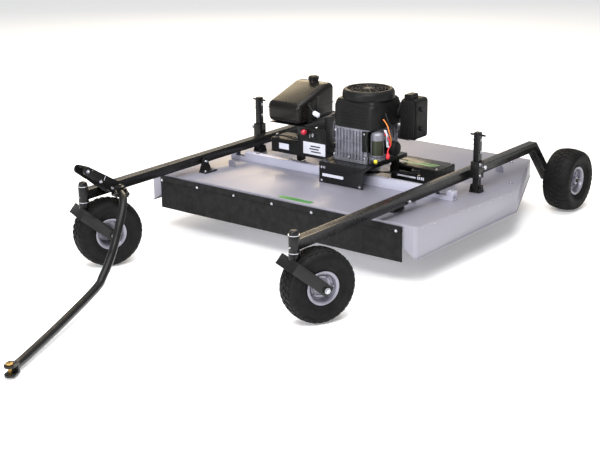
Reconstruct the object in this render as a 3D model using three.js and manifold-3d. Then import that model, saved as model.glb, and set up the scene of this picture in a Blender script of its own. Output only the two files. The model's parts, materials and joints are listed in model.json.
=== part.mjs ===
// Pull-behind rough-cut brush mower: a two-blade deck hung between two side frames, each with a
// caster in front and a wheel behind, a petrol engine on top and an offset hitch tongue.
// Millimetres, +Z up. The mower travels towards -Y. The origin is on the ground, halfway along.

import * as THREE from 'three';
import { mergeVertices } from 'three/addons/utils/BufferGeometryUtils.js';
import Module from 'manifold-3d';

const wasm = await Module();
wasm.setup();

// ---------------------------------------------------------------- driving dimensions

const GAP = 0.4;                          // air left between pieces that touch

const TYRE = { radius: 165, casterWidth: 127, rearWidth: 150, seat: 68.6, segments: 24 };
const RIM = { flange: 80, barrel: 68, wall: 4, width: 104, hub: 20, bore: 10.5, hubLength: 100, segments: 18 };
const AXLE_RADIUS = 9.5;

const RAIL = { x: 624, z: 361, size: 45, wall: 3.5, bendY: 1389 };
const HUB = { y: -620, outer: 24, bore: 13.5, low: 326, high: 402 };
const CASTER = { trail: 108, swivel: -25, crownY: -28, crownZ: 279, armInside: 72, armThick: 8, armWidth: 52 };
const REAR_WHEEL = { x: 752.5, y: 1560 };
const PIVOT = { y: 196, z: 349, radius: 6 };
const POST = { x: 681, y: 742, size: 30, low: 286, high: 570, pinZ: 300 };
const SLEEVE = { low: 347, high: 430, clearance: 3, wall: 5, pinZ: 404 };

const DECK = {
  halfWidth: 806, frontY: 20, sideEndY: 920, rearY: 1549, rearHalfWidth: 534, low: 148,
  frontTop: 303, slope: 0.0387, rearBendY: 1400, rearTop: 241, sheet: 5,
  mouthHalfWidth: 738, mouthTop: 264, cornerCut: 46,
};
const FLAP = { halfWidth: 734, low: 126, foldZ: 264, high: 292, thick: 6 };

const CRANK = { x: 128, y: 615, radius: 12.5 };
const BELT = { low: 320, high: 340 };
const CRANK_PULLEY_RADIUS = 62;
const SPINDLE_PULLEY_RADIUS = 76;
const SPINDLES = { right: { x: 362, y: 790 }, left: { x: -362, y: 980 } };
const BLADE = { radius: 368, width: 64, thick: 7, z: 152 };
const IDLER = { x: -80, y: 939, armX: -10, armY: 990, radius: 32 };

const ENGINE_BASE = { x: [-20, 244], y: [402, 790], z: 395, sheet: 7, ear: [294, 420] };
const CASE = { x: [5, 228], y: [480, 750], z: [410, 565] };
const BLOWER = { x: [-2, 250], y: [488, 738], shoulder: 687, top: 703, corner: 34 };
const TANK = { x: [-377, -165], y: [430, 735], low: 542, frontTop: 649, rearTop: 727, wall: 5 };
const FUEL_NECK = { x: -265, y: 682, radius: 30 };
const BATTERY = { x: [-394, -205], y: [484, 620], z: [380, 447] };
const PANEL = { x: [-205, -24], y: 466, z: [384, 536], thick: 4 };
const CHANNEL = { halfLength: 690, y: [510, 547], height: 44, sheet: 4 };

const HITCH = { x: -505, y: -500, boss: 22, pin: 9, low: 346, high: 394, ear: 8 };
const TONGUE = { radius: 19, wall: 4, pinReach: 48, z: 366, pin: 8, yaw: 22.3, eyeX: 79, eyeY: -1702.1, eyeZ: 33 };

// ---------------------------------------------------------------- materials

const FINISH = {
  frameBlack: [0x17181b, 0.32, 0.35],
  deckSilver: [0xc6c4d2, 0.42, 0.35],
  enginePlastic: [0x1c1c1d, 0.5, 0.0],
  castAluminium: [0xa9a8ae, 0.45, 0.8],
  steel: [0x9a9ca0, 0.35, 0.9],
  zinc: [0xc9cacd, 0.3, 0.9],
  rimSilver: [0xbdbccb, 0.4, 0.5],
  tyreRubber: [0x1b1b1c, 0.85, 0.0],
  flapRubber: [0x2b2b2c, 0.8, 0.0],
  tankPlastic: [0x1a1a18, 0.35, 0.0],
  redPlastic: [0xc23a44, 0.35, 0.0],
  brassPlate: [0xb0883c, 0.35, 0.9],
  oliveSteel: [0x4a4d3a, 0.45, 0.5],
};

const mower = new THREE.Group();

function finishMaterial(name) {
  const [color, roughness, metalness] = FINISH[name];
  return new THREE.MeshStandardMaterial({ color, roughness, metalness });
}

// ---------------------------------------------------------------- solid helpers

function signedVolume(points, faces) {
  const [a, b, c] = [new THREE.Vector3(), new THREE.Vector3(), new THREE.Vector3()];
  let volume = 0;
  for (let i = 0; i < faces.length; i += 3) {
    a.fromBufferAttribute(points, faces[i]);
    b.fromBufferAttribute(points, faces[i + 1]);
    c.fromBufferAttribute(points, faces[i + 2]);
    volume += a.dot(b.cross(c)) / 6;
  }
  return volume;
}

// A closed three.js geometry, moved by a matrix, as a solid that can be joined and cut.
function solid(geometry, matrix = new THREE.Matrix4()) {
  geometry.deleteAttribute('normal');
  geometry.deleteAttribute('uv');
  const merged = mergeVertices(geometry, 1e-3);
  merged.applyMatrix4(matrix);
  const points = merged.getAttribute('position');
  const index = merged.index.array;
  const faces = [];
  for (let i = 0; i < index.length; i += 3) {
    const [a, b, c] = index.slice(i, i + 3);
    if (a !== b && b !== c && c !== a) faces.push(a, b, c);
  }
  if (signedVolume(points, faces) < 0) faces.reverse();
  const mesh = new wasm.Mesh({
    numProp: 3, vertProperties: new Float32Array(points.array), triVerts: new Uint32Array(faces),
  });
  return new wasm.Manifold(mesh);
}

function join(first, ...others) {
  return others.reduce((whole, piece) => whole.add(piece), first);
}

function cut(first, ...tools) {
  return tools.reduce((whole, tool) => whole.subtract(tool), first);
}

function block([x0, x1], [y0, y1], [z0, z1]) {
  const move = new THREE.Matrix4().makeTranslation((x0 + x1) / 2, (y0 + y1) / 2, (z0 + z1) / 2);
  return solid(new THREE.BoxGeometry(x1 - x0, y1 - y0, z1 - z0), move);
}

const DRAWN_ON = {
  z: new THREE.Matrix4(),
  x: new THREE.Matrix4().makeBasis(axis(0, 1, 0), axis(0, 0, 1), axis(1, 0, 0)),
  y: new THREE.Matrix4().makeBasis(axis(1, 0, 0), axis(0, 0, 1), axis(0, 1, 0)),
};

function axis(x, y, z) {
  return new THREE.Vector3(x, y, z);
}

// An outline drawn across the named axis (XY for z, YZ for x, XZ for y), thickened from low to high.
function slab(across, outline, low, high, holes = []) {
  const shape = new THREE.Shape(outline.map(([a, b]) => new THREE.Vector2(a, b)));
  for (const hole of holes) {
    shape.holes.push(new THREE.Path(hole.map(([a, b]) => new THREE.Vector2(a, b))));
  }
  const geometry = new THREE.ExtrudeGeometry(shape, { depth: high - low, bevelEnabled: false, curveSegments: 8 });
  const matrix = DRAWN_ON[across].clone().multiply(new THREE.Matrix4().makeTranslation(0, 0, low));
  return solid(geometry, matrix);
}

// A profile of [radius, height] points turned about the line through centre along direction.
function turned(profile, centre, direction, segments, startAngle = 0) {
  const points = profile.map(([radius, height]) => new THREE.Vector2(radius, height));
  const geometry = new THREE.LatheGeometry(points, segments, startAngle);
  const turn = new THREE.Quaternion().setFromUnitVectors(axis(0, 1, 0), direction.clone().normalize());
  const matrix = new THREE.Matrix4().compose(centre, turn, axis(1, 1, 1));
  return solid(geometry, matrix);
}

function rod(radius, from, to, segments = 16) {
  const direction = to.clone().sub(from);
  const length = direction.length();
  return turned([[0, 0], [radius, 0], [radius, length], [0, length]], from, direction, segments);
}

function arc(cx, cy, radius, fromDegrees, toDegrees, steps) {
  const points = [];
  for (let i = 0; i <= steps; i++) {
    const angle = THREE.MathUtils.degToRad(fromDegrees + (toDegrees - fromDegrees) * i / steps);
    points.push([cx + radius * Math.cos(angle), cy + radius * Math.sin(angle)]);
  }
  return points;
}

function roundedRectangle([x0, x1], [y0, y1], radius, steps = 3) {
  return [
    ...arc(x1 - radius, y0 + radius, radius, -90, 0, steps), ...arc(x1 - radius, y1 - radius, radius, 0, 90, steps),
    ...arc(x0 + radius, y1 - radius, radius, 90, 180, steps), ...arc(x0 + radius, y0 + radius, radius, 180, 270, steps),
  ];
}

// The outline of a bar of one width along a line of points, with square ends.
function barOutline(line, halfWidth) {
  const sides = [[], []];
  line.forEach(([x, y], i) => {
    const before = line[Math.max(i - 1, 0)];
    const after = line[Math.min(i + 1, line.length - 1)];
    const incoming = new THREE.Vector2(x - before[0], y - before[1]).normalize();
    const outgoing = new THREE.Vector2(after[0] - x, after[1] - y).normalize();
    const tangent = incoming.clone().add(outgoing).normalize();
    const normal = new THREE.Vector2(-tangent.y, tangent.x);
    const straight = incoming.lengthSq() > 0 ? incoming : outgoing;
    const reach = halfWidth / Math.abs(new THREE.Vector2(-straight.y, straight.x).dot(normal));
    sides[0].push([x + normal.x * reach, y + normal.y * reach]);
    sides[1].unshift([x - normal.x * reach, y - normal.y * reach]);
  });
  return [...sides[0], ...sides[1]];
}

function place(group, name, piece, finish) {
  const { vertProperties, triVerts } = piece.getMesh();
  const geometry = new THREE.BufferGeometry();
  geometry.setAttribute('position', new THREE.Float32BufferAttribute(vertProperties, 3));
  geometry.setIndex(Array.from(triVerts));
  geometry.computeVertexNormals();
  const mesh = new THREE.Mesh(geometry, finishMaterial(finish));
  mesh.name = name;
  group.add(mesh);
}

function subgroup(x, y, z, turnDegrees = 0) {
  const group = new THREE.Group();
  group.position.set(x, y, z);
  group.rotation.z = THREE.MathUtils.degToRad(turnDegrees);
  mower.add(group);
  return group;
}

// ---------------------------------------------------------------- deck

function deckTopZ(y) {
  return DECK.frontTop - DECK.slope * (y - DECK.frontY);
}

function deckPlan(inset) {
  const side = DECK.halfWidth - inset;
  const rear = DECK.rearHalfWidth - inset * 0.7;
  const corner = 14;
  const half = [
    [side - corner, DECK.frontY + inset], [side, DECK.frontY + inset + corner],
    [side, DECK.sideEndY - inset * 0.2], [rear, DECK.rearY - inset],
  ];
  return [...half, ...half.map(([x, y]) => [-x, y]).reverse()];
}

// The space under the sloping deck top, lowered by drop.
function underTop(drop) {
  const far = 2000;
  const rearSlope = (deckTopZ(DECK.rearBendY) - DECK.rearTop) / (DECK.rearY - DECK.rearBendY);
  const outline = [
    [-far, 0], [far, 0], [far, DECK.rearTop - rearSlope * (far - DECK.rearY) - drop],
    [DECK.rearBendY, deckTopZ(DECK.rearBendY) - drop], [-far, deckTopZ(-far) - drop],
  ];
  return slab('x', outline, -1000, 1000);
}

function addDeck() {
  const outer = slab('z', deckPlan(0), DECK.low, 400).intersect(underTop(0));
  const inner = slab('z', deckPlan(DECK.sheet), DECK.low - 10, 400).intersect(underTop(DECK.sheet));
  const mouth = block([-DECK.mouthHalfWidth, DECK.mouthHalfWidth], [-50, DECK.frontY + 40], [100, DECK.mouthTop]);
  const { halfWidth, mouthHalfWidth, low, cornerCut } = DECK;
  const cornerCuts = [-1, 1].map((sign) => {
    const [inner, outer] = [sign * (mouthHalfWidth - 1), sign * (halfWidth + 1)];
    const outline = [[inner, low - 20], [outer, low - 20], [outer, low], [inner, low + cornerCut]];
    return slab('y', outline, 0, DECK.frontY + 12);
  });
  const spindleHoles = Object.values(SPINDLES).map(({ x, y }) => rod(38, axis(x, y, 200), axis(x, y, 400), 20));
  place(mower, 'deck_shell', cut(outer, inner, mouth, ...cornerCuts, ...spindleHoles), 'deckSilver');

  const [y0, y1] = CHANNEL.y;
  const foot = (y) => deckTopZ(y) + GAP;
  const top = foot(y0) + CHANNEL.height;
  const { sheet, halfLength } = CHANNEL;
  const hat = [
    [y0, foot(y0)], [y0 + sheet, foot(y0 + sheet)], [y0 + sheet, top - sheet], [y1 - sheet, top - sheet],
    [y1 - sheet, foot(y1 - sheet)], [y1, foot(y1)], [y1, top], [y0, top],
  ];
  const endPlate = (x0, x1) => slab('x', [[y0, foot(y0)], [y1, foot(y1)], [y1, top], [y0, top]], x0, x1);
  const ends = [endPlate(-halfLength, sheet - halfLength), endPlate(halfLength - sheet, halfLength)];
  const middle = axis(0, (y0 + y1) / 2, foot(y0) + 12);
  const hole = rod(6, middle.clone().setX(-750), middle.clone().setX(750), 12);
  const underRail = [-1, 1].map((sign) => {
    const reach = [-1, 1].map((way) => sign * RAIL.x + way * (RAIL.size / 2 + 8));
    return block(reach, [y0 - 5, y1 + 5], [foot(y0) + 20, top + 5]);
  });
  const channel = join(slab('x', hat, -halfLength, halfLength), ...ends);
  place(mower, 'deck_cross_channel', cut(channel, hole, ...underRail), 'deckSilver');
}

function addFlap() {
  const { halfWidth, low, foldZ, high, thick } = FLAP;
  const back = DECK.frontY - GAP;
  const front = back - thick;
  place(mower, 'front_flap', block([-halfWidth, halfWidth], [front, back], [low, foldZ - thick / 3]), 'flapRubber');
  place(mower, 'flap_clamp_bar', block([-halfWidth, halfWidth], [front - 3, back], [foldZ, high]), 'flapRubber');
}

// ---------------------------------------------------------------- blades, spindles and belt

const SPINDLE_RADIUS = 12.5;

function addSpindle(side, { x, y }) {
  const top = deckTopZ(y - 60) + 1;
  const seal = SPINDLE_RADIUS + 1.5;
  const housing = [
    [seal, top - 60], [36, top - 60], [36, top], [58, top], [58, top + 9], [32, top + 9], [30, BELT.low - 6],
    [seal, BELT.low - 6], [seal, top - 60],
  ];
  place(mower, `${side}_spindle_housing`, turned(housing, axis(x, y, 0), axis(0, 0, 1), 16), 'steel');

  const shaft = [[0, 130], [18, 130], [18, BLADE.z - 1], [SPINDLE_RADIUS, BLADE.z - 1], [SPINDLE_RADIUS, BELT.low - 4]];
  place(mower, `${side}_spindle`, pulleyOnShaft(x, y, shaft, SPINDLE_PULLEY_RADIUS), 'steel');

  const half = BLADE.width / 2;
  const tip = Math.sqrt(BLADE.radius ** 2 - half ** 2);
  const lift = 16;
  const edge = [
    [-tip, lift], [-tip + 90, 0], [tip - 90, 0], [tip, lift],
    [tip, lift + BLADE.thick], [tip - 92, BLADE.thick], [-tip + 92, BLADE.thick], [-tip, lift + BLADE.thick],
  ];
  const bar = slab('y', edge.map(([a, b]) => [a + x, b + BLADE.z]), y - half, y + half);
  const bore = rod(SPINDLE_RADIUS + 1, axis(x, y, 100), axis(x, y, 300), 12);
  place(mower, `${side}_blade`, cut(bar, bore), 'steel');
}

// A grooved belt pulley fixed on the top of a shaft, whose profile starts below the pulley.
function pulleyOnShaft(x, y, shaft, radius) {
  const { low, high } = BELT;
  const groove = radius - 12;
  const profile = [
    ...shaft, [radius, low - 4], [radius, low + 3], [groove, low + 7], [groove, high - 7],
    [radius, high - 3], [radius, high], [20, high], [20, high + 6], [0, high + 6],
  ];
  return turned(profile, axis(x, y, 0), axis(0, 0, 1), 16);
}

// A belt loop that lies outside a set of circles, taken in turn around the loop.
function beltOutline(circles, grow) {
  return circles.flatMap((circle, i) => {
    const previous = circles[(i + circles.length - 1) % circles.length];
    const next = circles[(i + 1) % circles.length];
    const from = tangentAngle(previous, circle);
    let to = tangentAngle(circle, next);
    if (to < from) to += 360;
    return arc(circle.x, circle.y, circle.radius + grow, from, to, 8);
  });
}

// The angle at which the outer tangent from one circle to the next touches both of them.
function tangentAngle(from, to) {
  const [dx, dy] = [to.x - from.x, to.y - from.y];
  const along = Math.atan2(dy, dx);
  const lean = Math.asin((from.radius - to.radius) / Math.hypot(dx, dy));
  return THREE.MathUtils.radToDeg(along - Math.PI / 2 + lean);
}

const BELT_CIRCLES = [
  { x: CRANK.x, y: CRANK.y, radius: CRANK_PULLEY_RADIUS - 11 },
  { ...SPINDLES.right, radius: SPINDLE_PULLEY_RADIUS - 11 },
  { ...SPINDLES.left, radius: SPINDLE_PULLEY_RADIUS - 11 },
];

function addBelt() {
  const hole = beltOutline(BELT_CIRCLES, 0).reverse();
  const loop = slab('z', beltOutline(BELT_CIRCLES, 8), BELT.low + 7.5, BELT.high - 7.5, [hole]);
  place(mower, 'drive_belt', loop, 'flapRubber');

  const { x, y, armX, armY, radius } = IDLER;
  const arm = slab('z', barOutline([[armX, armY], [x, y]], 13), 305, 311);
  const stud = rod(7, axis(x, y, 308), axis(x, y, BELT.high + 4), 10);
  const pivot = rod(10, axis(armX, armY, deckTopZ(armY) + 1.5), axis(armX, armY, 313), 10);
  place(mower, 'idler_arm', join(arm, stud, pivot), 'steel');
  const [low, high] = [BELT.low - 3, BELT.high + 1];
  const wheel = [[7.5, low], [radius, low], [radius, high], [7.5, high], [7.5, low]];
  place(mower, 'idler_pulley', turned(wheel, axis(x, y, 0), axis(0, 0, 1), 16), 'steel');
}

// A sheet cover that stands over a pulley: a tray turned upside down, open where the belt runs in.
function beltCover(plan, ...cuts) {
  const wall = 4;
  const top = 355;
  const skin = slab('z', plan(0), 250, top);
  const inside = slab('z', plan(wall), 200, top - wall);
  const beltWay = slab('z', beltOutline(BELT_CIRCLES, 14), BELT.low - 7, BELT.high + 6);
  return cut(skin, inside, underTop(-2 * GAP), beltWay, ...cuts);
}

function addBeltCovers() {
  const [baseX, baseY] = [ENGINE_BASE.x, ENGINE_BASE.y];
  const right = (wall) => (
    roundedRectangle([134 + wall, 479 - wall], [705 + wall, 875 - wall], 8 - wall / 2, 1)
  );
  const nearBase = block([baseX[0] - 4, baseX[1] + 4], [baseY[0], baseY[1] + 6], [200, 420]);
  place(mower, 'belt_cover_right', beltCover(right, nearBase), 'frameBlack');
  const left = (wall) => [
    [-150 - wall, 860 + wall], [-150 - wall, 990 - wall], [-262, 1090 - wall], [-400, 1090 - wall],
    [-460 + wall, 1040], [-460 + wall, 930], [-400, 866 + wall],
  ];
  place(mower, 'belt_cover_left', beltCover(left), 'frameBlack');
}

// ---------------------------------------------------------------- engine

function addEngineBase() {
  const { x, y, z, sheet, ear } = ENGINE_BASE;
  const foot = (at) => deckTopZ(at) + 1.2;
  const face = [
    [x[0], foot(y[0])], [x[1], foot(y[0])], [x[1], z - 24], [ear[0], ear[1] - 8], [ear[0], ear[1]],
    [x[1], z], [x[0], z],
  ];
  const front = slab('y', face, y[0], y[0] + sheet);
  const top = block(x, y, [z - sheet, z]);
  const lips = [[x[0], x[0] + sheet], [x[1] - sheet, x[1]]].map((lip) => block(lip, y, [z - 20, z]));
  const legs = [[x[0], x[0] + 30], [x[1] - 30, x[1]]].map((leg) => block(leg, [690, 720], [foot(690), z - 2]));
  const shaftWay = rod(24, axis(CRANK.x, CRANK.y, 300), axis(CRANK.x, CRANK.y, 500), 20);
  place(mower, 'engine_base', cut(join(front, top, ...lips, ...legs), shaftWay), 'frameBlack');
}

function addCrankcase() {
  const { x, y, z } = CASE;
  const foot = slab('z', roundedRectangle([x[0] - 6, x[1] - 8], [y[0] - 6, y[1] + 8], 30), ENGINE_BASE.z + GAP, z[0] + 4);
  const body = slab('z', roundedRectangle(x, y, 26), z[0], z[1]);
  const ribs = [];
  for (let i = 0; i < 7; i++) {
    const at = x[0] + 28 + i * 26;
    ribs.push(block([at, at + 6], [y[0] - 7, y[0] + 4], [z[0] + 14, z[1] - 8]));
  }
  const head = slab('x', roundedRectangle([570, 690], [458, 556], 14), -66, x[0] + 5);
  const fins = [];
  for (let i = 0; i < 4; i++) {
    const at = -50 + i * 14;
    fins.push(block([at, at + 5], [560, 700], [450, 562]));
  }
  const lug = block([x[1] - 10, x[1] + 66], [y[0], y[0] + 44], [z[0] + 14, z[0] + 28]);
  const bore = rod(CRANK.radius + 1.5, axis(CRANK.x, CRANK.y, 300), axis(CRANK.x, CRANK.y, 700), 16);
  place(mower, 'engine_crankcase', cut(join(foot, body, ...ribs, head, ...fins, lug), bore), 'castAluminium');
}

function addBlower() {
  const { x, y, shoulder, top, corner } = BLOWER;
  const low = CASE.z[1] + GAP;
  const plan = (inset) => (
    roundedRectangle([x[0] + inset, x[1] - inset], [y[0] + inset, y[1] - inset], corner - inset, 3)
  );
  const outer = join(slab('z', plan(0), low, shoulder), slab('z', plan(12), shoulder - 8, top));
  const inner = slab('z', plan(6), low - 5, shoulder - 6);
  const mouth = rod(104, axis(CRANK.x, CRANK.y, 600), axis(CRANK.x, CRANK.y, 760), 20);
  const ring = [
    [104, top - 2], [118, top - 2], [131, top + 8], [131, top + 24], [124, top + 37], [108, top + 43], [104, top + 37],
    [104, top - 2],
  ];
  const guard = turned(ring, axis(CRANK.x, CRANK.y, 0), axis(0, 0, 1), 20);
  const spokes = [];
  for (let i = 0; i < 3; i++) {
    const turn = THREE.MathUtils.degToRad(60 * i);
    const reach = axis(Math.cos(turn), Math.sin(turn), 0).multiplyScalar(112);
    const centre = axis(CRANK.x, CRANK.y, top + 33);
    spokes.push(rod(4, centre.clone().sub(reach), centre.clone().add(reach), 6));
  }
  place(mower, 'blower_housing', join(cut(outer, inner, mouth), guard, ...spokes), 'enginePlastic');

  const bore = CRANK.radius + GAP;
  const screen = [
    [bore, 700], [98, 700], [98, 718], [92, 722], [bore, 722], [bore, 700],
  ];
  place(mower, 'flywheel_screen', turned(screen, axis(CRANK.x, CRANK.y, 0), axis(0, 0, 1), 20), 'enginePlastic');
  const shaft = [[0, 312], [20, 312], [20, BELT.low - 4]];
  const shaftUp = rod(CRANK.radius, axis(CRANK.x, CRANK.y, BELT.high), axis(CRANK.x, CRANK.y, 726), 12);
  const pulley = pulleyOnShaft(CRANK.x, CRANK.y, shaft, CRANK_PULLEY_RADIUS);
  place(mower, 'crankshaft', join(pulley, shaftUp), 'steel');
}

function addEngineFittings() {
  const cleaner = slab('y', roundedRectangle([270, 362], [495, 697], 18), 672, 790);
  const lug = slab('y', roundedRectangle([288, 332], [685, 720], 8), 690, 750);
  const elbow = rod(34, axis(BLOWER.x[1] + GAP, 712, 622), axis(274, 712, 622), 14);
  const clearBlower = block([200, BLOWER.x[1] + GAP], [600, 760], [560, 700]);
  place(mower, 'air_cleaner', cut(join(cleaner, lug, elbow), clearBlower), 'enginePlastic');

  const seat = CASE.z[0] + 28 + GAP;
  const starter = [[0, seat], [29, seat], [29, 522], [31, 522], [31, 552], [24, 562], [0, 562]];
  place(mower, 'starter_motor', turned(starter, axis(262, 500, 0), axis(0, 0, 1), 16), 'oliveSteel');

  const filter = [[0, 0], [30, 0], [36, 6], [36, 70], [30, 78], [0, 78]];
  const filterSeat = axis(CASE.x[1] + GAP, 610, 462);
  place(mower, 'oil_filter', turned(filter, filterSeat, axis(1, 0, 0), 14), 'enginePlastic');

  const muffler = rod(48, axis(0, 822, 500), axis(240, 822, 500), 18);
  const inlets = [40, 190].map((x) => rod(13, axis(x, CASE.y[1] + GAP, 500), axis(x, 800, 500), 10));
  place(mower, 'muffler', join(muffler, ...inlets), 'steel');
}

// ---------------------------------------------------------------- tank, battery and controls

function addTank() {
  const { x, y, low, frontTop, rearTop, wall } = TANK;
  const side = (inset) => [
    [y[0] + inset, low + 14 + inset], [y[0] + 14 + inset, low + inset], [y[1] - 14 - inset, low + inset],
    [y[1] - inset, low + 14 + inset], [y[1] - inset, rearTop - 22 - inset], [y[1] - 22 - inset, rearTop - inset],
    [y[0] + 16 + inset, frontTop - inset], [y[0] + inset, frontTop - 16 - inset],
  ];
  const plan = (inset) => roundedRectangle([x[0] + inset, x[1] - inset], [y[0] + inset, y[1] - inset], 26 - inset, 4);
  const outer = slab('x', side(0), x[0], x[1]).intersect(slab('z', plan(0), 500, 760));
  const inner = slab('x', side(wall), x[0], x[1]).intersect(slab('z', plan(wall), 500, 760));
  const { x: nx, y: ny, radius } = FUEL_NECK;
  const neck = rod(radius - 6, axis(nx, ny, 696), axis(nx, ny, 728), 16);
  const throat = rod(radius - 11, axis(nx, ny, 640), axis(nx, ny, 760), 16);
  place(mower, 'fuel_tank', cut(outer.subtract(inner).add(neck), throat), 'tankPlastic');
  const capSeat = 728 + GAP;
  const cap = [
    [0, 716], [radius - 12, 716], [radius - 12, capSeat], [radius, capSeat], [radius, 746], [radius - 5, 751], [0, 751],
  ];
  place(mower, 'fuel_cap', turned(cap, axis(nx, ny, 0), axis(0, 0, 1), 16), 'enginePlastic');

  const top = low - GAP;
  const shelf = BATTERY.z[0] - GAP;
  const legX = [[x[0] + 10, x[0] + 15], [x[1] - 15, x[1] - 10]];
  const tray = block([x[0] + 10, x[1] - 10], [y[0] + 16, y[1] - 12], [top - 4, top]);
  const legs = legX.map((leg) => block(leg, [664, 734], [deckTopZ(664) + 1, top - 2]));
  const batteryShelf = block([BATTERY.x[0], x[1] - 10], [BATTERY.y[0], 734], [shelf - 5, shelf]);
  place(mower, 'tank_bracket', join(tray, ...legs, batteryShelf), 'frameBlack');
  place(mower, 'battery', slab('z', roundedRectangle(BATTERY.x, BATTERY.y, 6, 1), ...BATTERY.z), 'enginePlastic');
}

function addControls() {
  const { x, y, z, thick } = PANEL;
  const panel = block(x, [y, y + thick], z);
  const flange = block([x[0] + 20, x[1] - 20], [y, y + 14], [z[1] - 4, z[1]]);
  const knobAt = axis(-150, y, 513);
  const keyAt = axis(-108, y, 500);
  const through = axis(0, 60, 0);
  const hole = (centre, radius) => rod(radius, centre.clone().sub(through), centre.clone().add(through), 12);
  place(mower, 'control_panel', cut(join(panel, flange), hole(knobAt, 5), hole(keyAt, 9)), 'frameBlack');

  const knob = [[0, -30], [9, -27], [14, -21], [15, -15], [12, -7], [4, -3], [4, 40], [0, 40]];
  place(mower, 'choke_knob', turned(knob, knobAt.clone().setY(y - 4), axis(0, 1, 0), 14), 'redPlastic');
  const barrel = rod(8.4, keyAt.clone().setY(y - 7), keyAt.clone().setY(y + 26), 12);
  const bow = block([keyAt.x - 1.5, keyAt.x + 1.5], [y - 26, y - 6], [keyAt.z - 9, keyAt.z + 9]);
  place(mower, 'ignition_key', join(barrel, bow), 'zinc');
}

// ---------------------------------------------------------------- side frames

// The rail, its rear leg, the caster hub, the stub axle and the post sleeve are welded together.
function addSideFrame(side, sign) {
  const half = RAIL.size / 2;
  const x = [sign * RAIL.x - half, sign * RAIL.x + half];
  const across = (y, z, radius, segments = 12) => (
    rod(radius, axis(x[0] - 5, y, z), axis(x[1] + 5, y, z), segments)
  );
  const bar = slab('x', barOutline([[HUB.y, RAIL.z], [RAIL.bendY, RAIL.z], [REAR_WHEEL.y, TYRE.radius]], half), ...x);
  const boss = rod(half + 2, axis(x[0], REAR_WHEEL.y, TYRE.radius), axis(x[1], REAR_WHEEL.y, TYRE.radius), 16);
  const hub = rod(HUB.outer, axis(sign * RAIL.x, HUB.y, HUB.low), axis(sign * RAIL.x, HUB.y, HUB.high), 20);
  const stub = rod(AXLE_RADIUS, axis(sign * (RAIL.x - 30), REAR_WHEEL.y, TYRE.radius),
    axis(sign * (REAR_WHEEL.x + RIM.hubLength / 2 + 14), REAR_WHEEL.y, TYRE.radius), 14);
  const core = [[HUB.y + 30, RAIL.z], [RAIL.bendY, RAIL.z], [REAR_WHEEL.y - 30, TYRE.radius + 34]];
  const hollow = slab('x', barOutline(core, half - RAIL.wall), x[0] + RAIL.wall, x[1] - RAIL.wall);
  const kingpinWay = rod(HUB.bore, axis(sign * RAIL.x, HUB.y, 300), axis(sign * RAIL.x, HUB.y, 420), 20);

  const inside = POST.size / 2 + SLEEVE.clearance;
  const outside = inside + SLEEVE.wall;
  const span = (centre, reach) => [centre - reach, centre + reach];
  const sleeve = block(span(sign * POST.x, outside), span(POST.y, outside), [SLEEVE.low, SLEEVE.high]);
  const weldX = [sign * (RAIL.x + half - 2), sign * (POST.x - inside - 1)].sort((a, b) => a - b);
  const weld = block(weldX, span(POST.y, 18), [SLEEVE.low + 2, RAIL.z + half - 3]);
  const postWay = block(span(sign * POST.x, inside), span(POST.y, inside), [SLEEVE.low - 20, SLEEVE.high + 20]);
  const pinWay = rod(6.6, axis(sign * POST.x, POST.y, SLEEVE.pinZ), axis(sign * 730, POST.y, SLEEVE.pinZ), 10);
  const frame = cut(join(bar, boss, hub), hollow, kingpinWay, across(PIVOT.y, PIVOT.z, PIVOT.radius + 0.6));
  place(mower, `${side}_side_frame`, join(frame, stub, cut(join(sleeve, weld), postWay, pinWay)), 'frameBlack');

  const tip = sign * (POST.x + POST.size / 2 + 0.6);
  const grip = sign * (POST.x + POST.size / 2 + 34);
  const handle = rod(10, axis(grip - sign * 9, POST.y, SLEEVE.pinZ), axis(grip, POST.y, SLEEVE.pinZ), 12);
  const pin = rod(6, axis(tip, POST.y, SLEEVE.pinZ), axis(grip, POST.y, SLEEVE.pinZ), 10);
  place(mower, `${side}_height_pin`, join(pin, handle), 'zinc');

  const centre = axis(sign * REAR_WHEEL.x, REAR_WHEEL.y, TYRE.radius);
  addWheel(mower, `${side}_rear`, centre, axis(sign, 0, 0), TYRE.rearWidth);
}

function addLiftPost(side, sign) {
  const { x, y, size, low, high, pinZ } = POST;
  const reach = size / 2;
  const body = block([sign * x - reach, sign * x + reach], [y - reach, y + reach], [low, high]);
  const bore = [reach - 4, reach - 4];
  const hollow = block([sign * x - bore[0], sign * x + bore[0]], [y - bore[1], y + bore[1]], [low + 34, high + 5]);
  const eye = rod(6.6, axis(sign * x - 30, y, pinZ), axis(sign * x + 30, y, pinZ), 12);
  const stop = rod(5, axis(sign * x - 41, y, high - 10), axis(sign * x + 41, y, high - 10), 8);
  place(mower, `${side}_lift_post`, join(cut(body, hollow, eye), stop), 'frameBlack');

  const foot = deckTopZ(y - 24) + GAP;
  const base = block([sign * x - 28, sign * x + 28], [y - 24, y + 24], [foot, foot + 5]);
  const plate = [[y - 24, foot], [y + 24, foot], [y + 12, pinZ + 12], [y - 12, pinZ + 12]];
  const plates = [-28, 22].map((offset) => slab('x', plate, sign * x + offset, sign * x + offset + 6));
  const pin = rod(6, axis(sign * x - 34, y, pinZ), axis(sign * x + 34, y, pinZ), 12);
  place(mower, `${side}_deck_lug`, join(base, ...plates, pin), 'frameBlack');
}

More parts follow.
